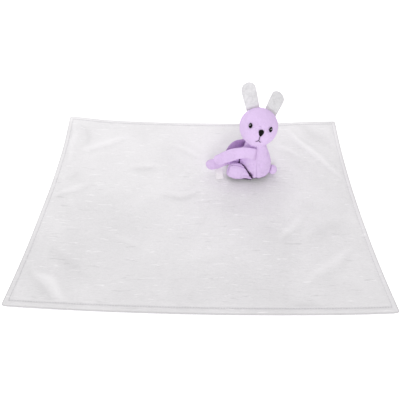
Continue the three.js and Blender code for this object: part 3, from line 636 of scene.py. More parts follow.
def ridge(x, y, start, end, width):
    """A fold's share at a place: a bell over the distance to a line, running out towards its ends."""
    along = np.subtract(end, start).astype(float)
    share = ((x - start[0]) * along[0] + (y - start[1]) * along[1]) / (along @ along)
    near = np.clip(share, 0.0, 1.0)
    away = np.hypot(x - start[0] - near * along[0], y - start[1] - near * along[1])
    slack = np.abs(2.0 * near - 1.0) ** 2
    return bell(away, width * (1.0 - 0.45 * slack)) * (1.0 - 0.8 * slack)


def folded(x, y):
    """The height of all folds at a place, added up."""
    return sum(high * ridge(x, y, start, end, wide) for start, end, wide, high in FOLDS)


def lift_at(x, y):
    """How far the blanket stands off the ground: bells round the back left corner and two edges."""
    places = [((-375, 250), 70, 7.0), ((375, -250), 60, 2.5), ((-375, -60), 60, 2.0), ((300, 250), 60, 2.5)]
    return sum(high * np.exp(-((x - c[0]) ** 2 + (y - c[1]) ** 2) / wide ** 2) for c, wide, high in places)


def painted_seat_shadow(x, y):
    """The faint print that the sitting toy presses into the pile, painted darker as the toy's contact shadow:
    round the seat and along both legs.
    """
    seat = 1.0 - smooth((np.hypot(x, y) - 24.0) / 12.0)
    along = np.clip((x - FOOT_X) / (HIP_X - FOOT_X), -0.3, 1.0)
    ahead = x - FOOT_X - along * (HIP_X - FOOT_X)
    aside = [np.hypot(ahead, y - LEG_MIDDLE - side * FOOT_WIDTH / 2.0) for side in (-1, 1)]
    return 0.22 * np.maximum(seat, 1.0 - smooth((np.minimum(*aside) - 9.0) / 10.0))


def face_height(x, y, fold):
    """The pile face's height over the ground and its painted shading. The hem is a half-ellipse roll, the
    topstitching a groove beside it, and the field is level with folds, lumps and a nest under the toy.
    Painted shade darkens the dips, the slopes that face the front, the groove and the very edge, and a
    painted highlight lightens the crests."""
    inset = np.minimum(WIDTH / 2.0 - np.abs(x), DEPTH / 2.0 - np.abs(y))
    spots = np.stack([x, y, np.zeros_like(x)], axis=-1)
    across, along = x + 10.0 * tufts(spots, 48.0, 51), y + 10.0 * tufts(spots, 48.0, 52)
    raised = folded(across, along)
    # Painted shade on slopes that face the front, away from the light above the back
    facing = np.clip((folded(across, along + 5.0) - raised) / 5.0, 0.0, 0.3)
    rolling = 0.7 * tufts(spots, 62.0, 5) + 0.45 * tufts(spots, 24.0, 6) + 0.3 * tufts(spots, 9.0, 7)
    spread = np.hypot((x - SEAT[0] + NEST_LENGTH / 8.0) / NEST_LENGTH, (y - SEAT[1]) / NEST_WIDTH) * 2.0
    nest = 1.0 - smooth((spread - 0.92) / 0.4)
    field = HOLLOW_LEVEL + fold * raised + rolling
    field = np.maximum(field, FACE_BOTTOM + 0.9)
    field = nest * (NEST_LEVEL + 0.2 * rolling) + (1.0 - nest) * field
    roll = 4.1 + 1.9 * arc(inset / (HEM / 2.0) - 1.0) + 0.25 * rolling
    past = smooth((inset - HEM) / HEM_RISE)
    height = np.where(inset < HEM, np.maximum(roll, 4.9 - 0.08 * inset), 4.7 + (field - 4.7) * past)
    # Painted shade along the topstitching groove, in the dips, on slopes that face the front and at the very
    # edge; painted highlight along the crests
    stitched = bell(inset - HEM, 1.5)
    dips = np.clip(-raised / 14.0, 0.0, 0.16)
    upward = [fold for fold in FOLDS if fold[3] > 0.0]
    painted_crest_highlights = sum(high / 5.0 * ridge(across, along, *ends, wide / 2.0) for *ends, wide, high in upward)
    edge = bell(inset, 1.6)
    painted_field_shading = 0.7 * dips + 0.5 * facing - painted_crest_highlights
    painted_shading = np.where(inset < HEM + 4.0, 0.03 * stitched + 0.45 * edge, painted_field_shading)
    return height + lift_at(x, y), np.clip(painted_shading + painted_seat_shadow(x - SEAT[0], y - SEAT[1]), -1.0, 1.0)


def blanket_stations(size, middle):
    """Places across one side of the blanket: close together over the hem, even between."""
    hem = np.array([0.0, 0.5, 1.2, 2.2, 3.5, 5.0, 6.5, 8.0, 9.0, 10.0, 11.0, 12.5, 15.0, 18.0])
    inner = np.linspace(21.0, size - 21.0, middle)
    return np.concatenate([hem, inner, size - hem[::-1]]) - size / 2.0


def closed_sheet(name, top, under, material, painted_shading=None):
    """Two layers of one grid, joined all round their rims."""
    rows, columns = top.shape[:2]
    number = np.arange(rows * columns).reshape(rows, columns)
    rim = np.concatenate([number[0, :-1], number[:-1, -1], number[-1, :0:-1], number[:0:-1, 0]])
    upper = grid_faces(rows, columns)
    after = np.roll(rim, -1)
    skirt = np.stack([rim, rim + number.size, after + number.size, after], axis=-1)
    faces = np.concatenate([upper, upper[:, ::-1] + number.size, skirt])
    points = np.concatenate([top.reshape(-1, 3), under.reshape(-1, 3)])
    tone = None if painted_shading is None else np.concatenate([painted_shading.ravel(), np.zeros(number.size)])
    return make_piece(name, points, faces, material, tone)


class BLANKET_OT_blanket(Operator):
    """Builds the blanket: the lofted pile face, the flat backing and the topstitching along the hem"""

    bl_idname = "blanket.blanket"
    bl_label = "Blanket"

    def execute(self, context):
        look = context.scene.blanket_look
        finish = finishes(context)
        fold = look.fold_height / MM / 4.0
        x, y = np.meshgrid(blanket_stations(WIDTH, 190), blanket_stations(DEPTH, 126))
        shape = x.shape
        height, painted_shading = face_height(x, y, fold)
        lying = drawn_in(x, y)
        top = np.stack([*lying, height], axis=-1)
        under = np.stack([*lying, np.full(shape, FACE_BOTTOM) + lift_at(x, y)], axis=-1)
        face = closed_sheet("pile_face", top, under, finish["pile_white"], painted_shading)
        settle(face, "blanket", ["blanket_face_sheet"])
        sides = ((WIDTH, 76), (DEPTH, 51))
        x, y = np.meshgrid(*(np.linspace(-size / 2.0, size / 2.0, count) for size, count in sides))
        lying = drawn_in(x, y)
        lift = lift_at(x, y)
        puckers = 0.25 * tufts(np.stack([x, y, 0.0 * x], axis=-1), 18.0, 9)
        top = np.stack([*lying, BACKING_TOP - 0.1 + lift], axis=-1)
        under = np.stack([*lying, 0.3 + puckers + lift], axis=-1)
        backing = closed_sheet("backing", top, under, finish["backing_white"])
        settle(backing, "blanket", ["blanket_backing_sheet"])
        stitches = self.topstitching(look.stitch_length / MM, fold, finish["thread_white"])
        settle(stitches, "blanket", ["edge_topstitch_thread"])
        return {"FINISHED"}

    def topstitching(self, length, fold, material):
        """Running stitches in the groove: arcs of thread over equal shares of the route round the hem."""
        half_width, half_depth = WIDTH / 2.0 - HEM, DEPTH / 2.0 - HEM
        corners = np.array([[-1, -1], [1, -1], [1, 1], [-1, 1], [-1, -1]]) * (half_width, half_depth)
        route = even(corners, int(4.0 * (half_width + half_depth)))
        count = int(4.0 * (half_width + half_depth) / (1.25 * length))
        share = np.linspace(0.0, 0.8, 6)
        spots = (np.arange(count)[:, None] + share[None, :]) / count * (len(route) - 1)
        x, y = (np.interp(spots, np.arange(len(route)), route[:, k]) for k in range(2))
        height = face_height(x, y, fold)[0] + 0.25 + 0.45 * np.sin(math.pi * share / 0.8)
        paths = np.stack([*drawn_in(x, y), height], axis=-1)
        radii = np.broadcast_to(0.55 * np.sqrt(np.sin(math.pi * share / 0.8).clip(0.0)), x.shape)
        points, faces = tubes(paths, np.broadcast_to(UP, paths.shape), radii, 5)
        return make_piece("topstitching", points, faces, material)


def filled(name, grid, inset, finish, body, node):
    """The filling of a cover: its grid drawn in along the normals, lumpy."""
    normals = grid_normals(grid)
    lumps = grid - normals * (inset + 0.6 * tufts(grid, 8.0, 31))[..., None]
    made = make_piece(name, lumps, grid_faces(*grid.shape[:2], closed=True), finish["fibre"])
    settle(made, body, [node])


def panels(names, grid, painted_shading, split, material):
    """The two halves of a cover, parted at columns of its grid, each with an inward wall."""
    columns = grid.shape[1]
    middle = grid.reshape(-1, 3).mean(axis=0)
    made = []
    for name, start in zip(names, split):
        chosen = (start + np.arange(columns // 2 + 1)) % columns
        part = grid[:, chosen]
        faces = grid_faces(*part.shape[:2])
        made.append(make_piece(name, part, faces, material, painted_shading[:, chosen], middle, COVER))
    return made


def leg_line(side):
    """The middle of a leg's foot and of its hip, in the toy's frame."""
    aside = side * (FOOT_WIDTH + LEG_CREASE) / 2.0
    foot = np.array([FOOT_X, LEG_MIDDLE + aside, FOOT_HEIGHT / 2.0 - LEG_SETTLE])
    return foot, np.array([HIP_X, LEG_MIDDLE + side * HIP_SPREAD, HIP_HEIGHT])


def leg_clearance(points, side):
    """How far points stand off a leg: their distance to its line, with the height drawn in to the width, less
    the pear's radius at that place along it."""
    foot, hip = leg_line(side)
    along = unit(hip - foot)
    over = unit(np.cross((0.0, 0.0, 1.0), along))
    away = points - foot
    aside, up = away @ over, away @ np.cross(along, over) * FOOT_WIDTH / FOOT_HEIGHT
    profile = pear(LEG, 200)[8:]
    order = np.argsort(profile[:, 1], kind="stable")
    place = away @ along + LEG["bulge_at"]
    radius = np.interp(place, profile[order, 1], profile[order, 0], left=-50.0, right=-50.0)
    return np.hypot(aside, up) - radius


class BLANKET_OT_torso(Operator):
    """Builds the torso's front and back panels, its filling, the tail and the thread round the neck"""

    bl_idname = "blanket.torso"
    bl_label = "Torso and tail"

    def execute(self, context):
        look = context.scene.rabbit_look
        finish = finishes(context)
        rows, columns = TORSO_FILL
        angle = full_turn(columns)
        side = pear(TORSO, rows)
        coarse = self.swept(side, angle, -1.2)
        seams = np.abs(np.cos(angle)) < 1e-6
        pinned = np.broadcast_to(seams, coarse.shape[:2]) | (side[:, 1] < 1.0)[:, None]
        pinned = pinned | (side[:, 1] > TORSO["neck_at"] - 4.0)[:, None]
        grid = finer(plump(coarse, pinned, 1.6), *TORSO_GRID)
        seam, painted_shading = self.side_seams(grid, look.seam_depth / MM)
        grid = plush_surface(grid, look.pile_height / MM, 40) + SEAT
        grid = grid - grid_normals(grid) * seam[..., None]
        grid[..., 2] = np.maximum(grid[..., 2], SEAT[2] + 0.1)
        quarter = TORSO_GRID[1] // 4
        split = [quarter, 3 * quarter]
        covers = panels(["torso_front", "torso_back"], grid, painted_shading, split, finish["plush_lilac"])
        for cover, node in zip(covers, ["torso_front_panel", "torso_back_panel"]):
            settle(cover, "torso", [node])
        filled("torso_stuffing", coarse + SEAT, 2.4, finish, "torso", "torso_filling")
        self.tail(look, finish)
        self.neck_thread(finish)
        return {"FINISHED"}

    def swept(self, side, angle, grow):
        """The profile turned about the leaning middle line."""
        radius = np.maximum(side[:, 0] + grow, 0.0)[:, None] * (side[:, 0] > 1e-6)[:, None]
        middle = lean_at(side[:, 1])
        x = middle[:, :1] + radius * np.cos(angle)
        y = middle[:, 1:] + radius * np.sin(angle)
        return np.stack([x, y, np.broadcast_to(side[:, 1:], x.shape)], axis=-1)

    def side_seams(self, grid, depth):
        """A groove along the columns that face sideways, as a bell of 1.6 mm over the way round, and the
        painted
        shading of the cover: painted shade at the groove and towards the bottom, a painted contact shadow
        along the base and a painted gap shadow in a band beside each leg."""
        round_way = np.abs(np.cos(full_turn(grid.shape[1]))) * 30.0
        groove = np.broadcast_to(bell(round_way, 1.6), grid.shape[:2])
        # Painted shade towards the bottom, a painted contact shadow along the base and a painted gap shadow
        # beside each leg
        painted_low_shade = 1.0 - smooth((grid[..., 2] - 2.0) / 10.0)
        rim = np.linalg.norm(grid[..., :2], axis=-1) - TORSO["base"]
        painted_contact_shadow = smooth(rim / 3.0) * (1.0 - smooth((grid[..., 2] - 12.0) / 4.0))
        clearance = np.min([leg_clearance(grid, side) for side in (-1.0, 1.0)], axis=0)
        painted_gap_band = np.maximum(clearance + 1.8, 0.0) + np.maximum(-4.5 - clearance, 0.0)
        tone = 0.04 * groove + 0.4 * painted_low_shade + 1.7 * painted_contact_shadow + 1.9 * bell(painted_gap_band, 2.2)
        return 0.15 * depth * groove, np.clip(tone, 0.0, 2.0)

    def tail(self, look, finish):
        """A ball, pressed flat where it meets the torso and the blanket."""
        rows, columns = TAIL_GRID
        rise = np.linspace(-math.pi / 2.0, math.pi / 2.0, rows)[:, None]
        turn = full_turn(columns)
        level = np.cos(rise)
        ball = np.stack([level * np.cos(turn), level * np.sin(turn), np.sin(rise) + 0.0 * turn], axis=-1)
        grid = TAIL_PLACE + ball * TAIL_SIZE / 2.0
        grid = plush_surface(grid, look.pile_height / MM, 60)
        grid = clear_of_torso(grid, 0.3)
        grid[..., 2] = np.maximum(grid[..., 2], 0.15)
        # Painted shade where the tail meets the torso
        painted_shading = 0.8 * bell(torso_clearance(grid), 2.5)
        faces = grid_faces(rows, columns, closed=True)
        made = make_piece("tail_nub", grid + SEAT, faces, finish["plush_lilac"], painted_shading)
        settle(made, "torso", ["tail"])

    def neck_thread(self, finish):
        """Slanting overcast stitches round the neck."""
        count, length = 64, 7
        share = np.linspace(-0.5, 0.5, length)
        turn = 2.0 * math.pi * (np.arange(count)[:, None] + 0.9 * share) / count
        radius = TORSO["neck"] + 0.9 + 0.35 * np.cos(math.pi * share)
        middle = lean_at(np.array(TORSO["neck_at"]))
        x, y = middle[0] + radius * np.cos(turn), middle[1] + radius * np.sin(turn)
        paths = np.stack([x, y, np.broadcast_to(TORSO["neck_at"] + 1.1 * share, x.shape)], axis=-1) + SEAT
        out = np.stack([np.cos(turn), np.sin(turn), 0.0 * turn], axis=-1)
        radii = np.broadcast_to(0.42 * np.sqrt(np.cos(math.pi * share).clip(0.0)), x.shape)
        points, faces = tubes(paths, out, radii, 5)
        made = make_piece("neck_stitches", points, faces, finish["thread_lilac"])
        settle(made, "torso", ["neck_seam_thread"])


HEAD_FRAME = turned((0, 0, 1), HEAD_TURN[0]) @ turned((1, 0, 0), HEAD_TURN[1])
HEAD_FRAME = HEAD_FRAME @ turned((0, 1, 0), HEAD_TURN[2])
NECK_SEAT = math.sqrt((HEAD[0] / 2.0) ** 2 - TORSO["neck"] ** 2)
HEAD_MIDDLE = SEAT + np.array([*LEAN, TORSO["neck_at"] + NECK_SEAT])


def head_point(side, rise, lift=0.0):
    """A point of the head by its angles in degrees to the side and up from the middle of the face. The crown
    is fuller than the chin by a share of the sine of the rise."""
    a, b = np.radians(side), np.radians(rise)
    fuller = 1.0 + HEAD_CROWN * np.sin(b)
    half = HEAD / 2.0 + lift
    x, y = half[0] * np.sin(a) * np.cos(b) * fuller, -half[1] * np.cos(a) * np.cos(b) * fuller
    return np.stack(np.broadcast_arrays(x, y, half[2] * np.sin(b)), axis=-1)


def head_normal(points):
    """The direction out of the head's surface: each coordinate over its axis squared."""
    return unit(points / HEAD ** 2)


def from_head(points):
    """Points of the head's frame in the shared frame."""
    return HEAD_MIDDLE + points @ HEAD_FRAME.T


def off_head(points, gap):
    """Points of the head's frame moved out to its surface plus a gap, where they are inside it."""
    fuller = 1.0 + HEAD_CROWN * np.clip(points[..., 2:] / (HEAD[2] / 2.0), -1.0, 1.0)
    half = (HEAD / 2.0 + gap) * np.concatenate([fuller, fuller, np.ones_like(fuller)], axis=-1)
    inside = np.linalg.norm(points / half, axis=-1, keepdims=True)
    return points / np.minimum(np.maximum(inside, 1e-6), 1.0)


class BLANKET_OT_head(Operator):
    """Builds the head's face and back panels, its filling and the stitched face"""

    bl_idname = "blanket.head"
    bl_label = "Head and face"

    def execute(self, context):
        look = context.scene.rabbit_look
        finish = finishes(context)
        coarse = self.skull(*HEAD_FILL, -1.0)
        seam_row = np.arange(HEAD_FILL[0]) == HEAD_FILL[0] // 2
        pinned = np.broadcast_to(seam_row[:, None], coarse.shape[:2])
        rows, columns = HEAD_GRID
        half = rows // 2
        grid = finer(plump(coarse, pinned, 1.4), rows, columns)
        polar = np.linspace(0.0, math.pi, rows)[:, None]
        seam = bell((polar - math.pi / 2.0) * HEAD[0] / 2.0, 1.7) + np.zeros(columns)
        grid = plush_surface(grid, look.pile_height / MM, 80)
        pull, tone = self.face_pull(grid)
        grid = grid - grid_normals(grid) * (look.seam_depth / MM * seam + pull)[..., None]
        placed = self.on_neck(from_head(grid))
        # Painted shade in the seam's groove and in the dimples round the stitching
        painted_shading = np.clip(0.6 * seam + tone, 0.0, 1.0)
        middle = placed.reshape(-1, 3).mean(axis=0)
        for name, part, node in (
            ("head_back", slice(0, half + 1), "head_back_panel"),
            ("head_face", slice(half, rows), "head_front_panel"),
        ):
            chosen = placed[part]
            faces = grid_faces(*chosen.shape[:2], closed=True)
            cover = make_piece(name, chosen, faces, finish["plush_lilac"], painted_shading[part], middle, COVER)
            settle(cover, "head", [node])
        filled("head_stuffing", self.on_neck(from_head(coarse)), 2.6, finish, "head", "head_filling")
        for name, side in (("eye_right", -0.96), ("eye_left", 1.03)):
            self.eye(name, side, finish)
        self.nose(finish)
        self.mouth(finish)
        return {"FINISHED"}

    def skull(self, rows, columns, grow):
        """A grid from the back pole to the face pole, about the direction that the seam's ring faces: each
        direction times half of the head's axes, fuller towards the crown."""
        back = np.array([0.0, math.cos(math.radians(EAR_BACK)), -math.sin(math.radians(EAR_BACK))])
        over = np.array([1.0, 0.0, 0.0])
        up = np.cross(back, over)
        polar = np.linspace(0.0, math.pi, rows)[:, None, None]
        turn = full_turn(columns)[None, :, None]
        way = back * np.cos(polar) + np.sin(polar) * (over * np.cos(turn) + up * np.sin(turn))
        fuller = 1.0 + HEAD_CROWN * way[..., 2:]
        scale = np.concatenate([fuller, fuller, np.ones_like(fuller)], axis=-1)
        return way * (HEAD / 2.0 + grow) * scale

    def face_pull(self, grid):
        """How far the stitching pulls the face in, and the painted shade in its dimples: bells round the eyes
        and along the mouth.
        """
        pull = np.zeros(grid.shape[:2])
        tone = np.zeros(grid.shape[:2])
        for side in (-EYE_SIDE, EYE_SIDE):
            away = np.linalg.norm(grid - head_point(side, EYE_RISE), axis=-1)
            pull = pull + 0.9 * bell(away, 7.5)
            tone = tone + 0.18 * bell(away, 7.5)
        rises = np.linspace(MOUTH_TOP, MOUTH_FORK, 6)
        ends = np.linspace(0.0, 1.0, 4)
        spots = [(NOSE_SIDE, rise) for rise in rises]
        spots += [(NOSE_SIDE + hand * MOUTH_SPREAD * s, MOUTH_FORK + (MOUTH_END - MOUTH_FORK) * s)
                  for hand in (-1, 1) for s in ends]
        line = np.min([np.linalg.norm(grid - head_point(*spot), axis=-1) for spot in spots], axis=0)
        muzzle = np.linalg.norm(grid - head_point(NOSE_SIDE, -16.0), axis=-1)
        pull = pull + bell(line, 2.6) - 0.9 * bell(muzzle, 16.0)
        return pull, tone + 0.4 * bell(line, 2.4)

    def on_neck(self, points):
        """The head's underside lifted over the neck's dome and its thread."""
        local = points - SEAT
        away = np.linalg.norm(local[..., :2] - LEAN, axis=-1)
        dome = TORSO["neck_at"] + TORSO["dome"] * arc(away / TORSO["neck"]) + 0.9
        floor = np.where(away < TORSO["neck"] + 2.2, np.maximum(dome, TORSO["neck_at"] + 1.6), -1e3)
        below = local[..., 2] < TORSO["neck_at"] + 20.0
        raised = np.where(below, np.maximum(local[..., 2], floor), local[..., 2])
        return np.concatenate([local[..., :2], raised[..., None]], axis=-1) + SEAT

    def stitched(self, name, node, place, outline, size, slot, finish, slant=0.0):
        """Satin stitching: threads side by side, raised in a dome. Each runs from one side of the outline to
        the other, highest in its middle."""
        count, length = 15, 11
        row = np.linspace(-0.94, 0.94, count)[:, None]
        share = np.linspace(-1.0, 1.0, length)[None, :]
        half = outline(row)
        x = half * share * size[0] / 2.0
        y = (row + 0.1 * slant * share) * size[1] / 2.0
        dome = arc(share * half) * np.sqrt(1.0 - 0.8 * row**2)
        z = 0.15 + size[2] * dome
        out = head_normal(place)
        side = unit(np.cross(UP, out))
        up = np.cross(out, side)
        flat = place + x[..., None] * side + y[..., None] * up
        curved = off_head(flat, 0.0) + out * z[..., None]
        radii = 0.62 * size[1] / count * arc(share**2) + 0.0 * row
        points, faces = tubes(curved, np.broadcast_to(out, curved.shape), radii)
        made = make_piece(name, from_head(points), faces, finish[slot])
        settle(made, "head", [node])

    def eye(self, name, side, finish):
        """An oval of black threads, with a small pale glint on top of it."""
        place = head_point(side * EYE_SIDE, EYE_RISE)
        names = (f"{name}_threads", f"{name}_stitching")
        self.stitched(*names, place, arc, EYE_SIZE, "thread_black", finish, side)
        out = head_normal(place)
        over = unit(np.cross(UP, out))
        shine = place - over * EYE_SIZE[0] / 12.0 + np.cross(out, over) * EYE_SIZE[1] / 12.0
        shine = shine + out * (EYE_SIZE[2] + 0.7)
        names = (f"{name}_shine", f"{name}_glint")
        self.stitched(*names, shine, lambda row: 0.9 * arc(row), GLINT_SIZE, "thread_white", finish)

    def nose(self, finish):
        """A shield of black threads, full at the top and narrow at the foot."""

        def shield(row):
            return np.clip((0.6 + 0.4 * smooth((row + 1.0) / 1.5)) * arc(row**2), 0.05, 1.0)

        place = head_point(NOSE_SIDE, NOSE_RISE)
        self.stitched("nose_threads", "nose_stitching", place, shield, NOSE_SIZE, "thread_black", finish)

    def mouth(self, finish):
        """Three threads over the face: one down from the nose and one to each side of its foot."""
        share = np.linspace(0.0, 1.0, 12)
        down = np.stack([NOSE_SIDE + 0.0 * share, MOUTH_TOP + (MOUTH_FORK - MOUTH_TOP) * share], axis=-1)
        bow = MOUTH_FORK + 1.0 + (MOUTH_END - MOUTH_FORK - 1.0) * share - 1.2 * np.sin(math.pi * share)
        sides = [np.stack([NOSE_SIDE + hand * MOUTH_SPREAD * share, bow], axis=-1) for hand in (-1.0, 1.0)]
        routes = np.stack([down, *sides])
        paths = head_point(routes[..., 0], routes[..., 1], 0.35)
        radii = np.broadcast_to(0.62 * arc((2.0 * share - 1.0) ** 4), routes.shape[:2])
        points, faces = tubes(paths, head_normal(paths), radii)
        made = make_piece("mouth_stitches", from_head(points), faces, finish["thread_black"])
        settle(made, "head", ["mouth_thread"])


def layer_ring(count):
    """The closed section of one cloth layer, across from -1 to 1 and out from 0 to 1: a rounded crown and a
    nearly flat inside, where it lies against the other layer."""
    across = np.cos(np.linspace(math.pi, 0.0, count))
    crown = np.clip(1.0 - np.abs(across) ** 2.6, 0.0, 1.0) ** 0.55
    inner = np.linspace(1.0, -1.0, count // 2)[1:-1]
    return np.concatenate([across, inner]), np.concatenate([crown, 0.0 * inner])


def capped(rows, columns):
    """The quads of a closed grid, with its first row shut by quads between the crown and the inside."""
    faces = grid_faces(rows, columns, closed=True)
    middle = columns // 2
    left, right = np.arange(middle), np.arange(columns - 1, middle - 1, -1)
    strip = np.stack([left[:-1], left[1:], right[1:middle], right[:middle - 1]], axis=-1)
    return np.concatenate([faces, strip])


class BLANKET_OT_ears(Operator):
    """Builds both layers of each ear, bent over the head at the base"""

    bl_idname = "blanket.ears"
    bl_label = "Ears"

    def execute(self, context):
        look = context.scene.rabbit_look
        finish = finishes(context)
        for ear in EARS:
            self.ear(*ear, look, finish)
        return {"FINISHED"}

    def ear(self, name, side, spread, upright, lean, look, finish):
        """A blade that widens from its base and ends in a round tip, dished along its middle."""
        base = turned((1, 0, 0), -EAR_BACK) @ head_point(180.0 - side * 90.0, 90.0 - spread)
        out = head_normal(base)
        back = unit(np.array([0.0, 1.0, 0.0]) - out * out[1])
        basis = np.stack([np.cross(back, out), back, out], axis=1) @ turned((1, 0, 0), -lean)
        seat = base + out * (GAP + EAR_THICKNESS / 2.0)
        blade = np.linspace(-0.07, 0.7, 40)
        rounding = 0.7 + 0.3 * np.sin(np.linspace(0.05, 1.0, 34) * math.pi / 2.0)
        share = np.concatenate([blade, rounding])
        tip = 1.0 - EAR_WIDTH / 2.0 / EAR_LENGTH
        widening = np.sin(math.pi / 2.0 * np.clip(share / tip, 0.0, 1.0))
        wide = (EAR_BASE + (EAR_WIDTH - EAR_BASE) * widening) / 2.0
        past = np.clip((share - tip) / (1.0 - tip), 0.0, 1.0)
        half = wide * arc(past)
        across, crown = layer_ring(LAYER_COLUMNS)
        height = share[:, None] * EAR_LENGTH - EAR_THICKNESS / 2.0 + 0.0 * across
        x = -side * math.tan(math.radians(upright)) * (height + EAR_THICKNESS / 2.0) + half[:, None] * across
        full = np.sqrt(half / half.max())[:, None]
        for layer, facing in (("front", -1.0), ("back", 1.0)):
            thick = GAP / 2.0 + crown * (EAR_THICKNESS / 2.0 - GAP / 2.0 - 0.1) * full
            spots = np.stack([x, facing * thick, height], axis=-1)
            lumps = tufts(spots + 90.0 * facing, 7.0, 11) + 0.7 * tufts(spots, 2.6, 12)
            spots[..., 1] += facing * crown * look.pile_height / MM * lumps
            turn = basis @ spots.reshape(-1, 3).T
            placed = from_head(off_head((seat + turn.T).reshape(spots.shape), 0.35))
            # Painted shade at the base, where the ear meets the head, and along the rim between the two
            # layers
            painted_low_shade = 1.0 - smooth((share[:, None] - 0.01) / 0.09)
            edge = np.clip(1.0 - crown, 0.0, 1.0) ** 3 * 0.4
            painted_shading = np.clip(0.45 * painted_low_shade + edge, 0.0, 1.0)
            faces = capped(*spots.shape[:2])
            made = make_piece(f"{name}_{layer}", placed, faces, finish["plush_white"], painted_shading)
            start, end = from_head(seat - out * 2.0), from_head(seat + basis[:, 2] * 7.0)
            bend_over(made, [f"{name}_{layer}_layer"], start, end)


def sloping(degrees):
    """Straight ahead of the toy, falling at an angle."""
    angle = math.radians(degrees)
    return np.array([-math.cos(angle), 0.0, -math.sin(angle)])


def arm_frame(ahead, lean):
    """An arm's directions: along it, across its width and out of its outside, tipped up by the lean."""
    along = unit(ahead)
    upright = unit(np.array([0.0, 0.0, 1.0]) - along * along[..., 2:])
    outward = np.cross(upright, along)
    tip = np.radians(lean)[..., None]
    across = upright * np.cos(tip) - outward * np.sin(tip)
    return along, across, outward * np.cos(tip) + upright * np.sin(tip)


def route_through(places, count):
    """A centripetal Catmull-Rom curve through places, at equal steps of its length."""
    spots = np.concatenate([[2.0 * places[0] - places[1]], places, [2.0 * places[-1] - places[-2]]])
    share = np.linspace(0.0, 1.0, 40)[:, None]
    runs = []
    for before, start, end, after in zip(spots, spots[1:], spots[2:], spots[3:]):
        pairs = ((before, start), (start, end), (end, after))
        lead, span, tail = (math.sqrt(np.linalg.norm(b - a)) for a, b in pairs)
        first = ((start - before) / lead - (end - before) / (lead + span) + (end - start) / span) * span
        last = ((end - start) / span - (after - start) / (span + tail) + (after - end) / tail) * span
        bend, twist = 3.0 * (end - start) - 2.0 * first - last, 2.0 * (start - end) + first + last
        runs.append(start + first * share + bend * share ** 2 + twist * share ** 3)
    return even(np.concatenate(runs), count)


CLASP_AHEAD = sloping(CLASP_DROP)
CLASP_FRAME = arm_frame(CLASP_AHEAD, np.array(ARM_LEAN))


def along_clasp(distance, rise=0.0, shift=0.0):
    """A place at the clasp: ahead along the slope, out of it by the rise and across by the shift."""
    return CLASP + CLASP_AHEAD * distance + CLASP_FRAME[2] * rise + CLASP_FRAME[1] * shift


def shoulder(side, height):
    """Where an arm starts, in the torso's side seam."""
    lean = lean_at(np.array(height))
    reach = float(torso_radius(height - ARM_WIDTH / 8.0)) + GAP + ARM_LAYER
    return np.array([lean[0] - SHOULDER_FORWARD, lean[1] + side * reach, height])


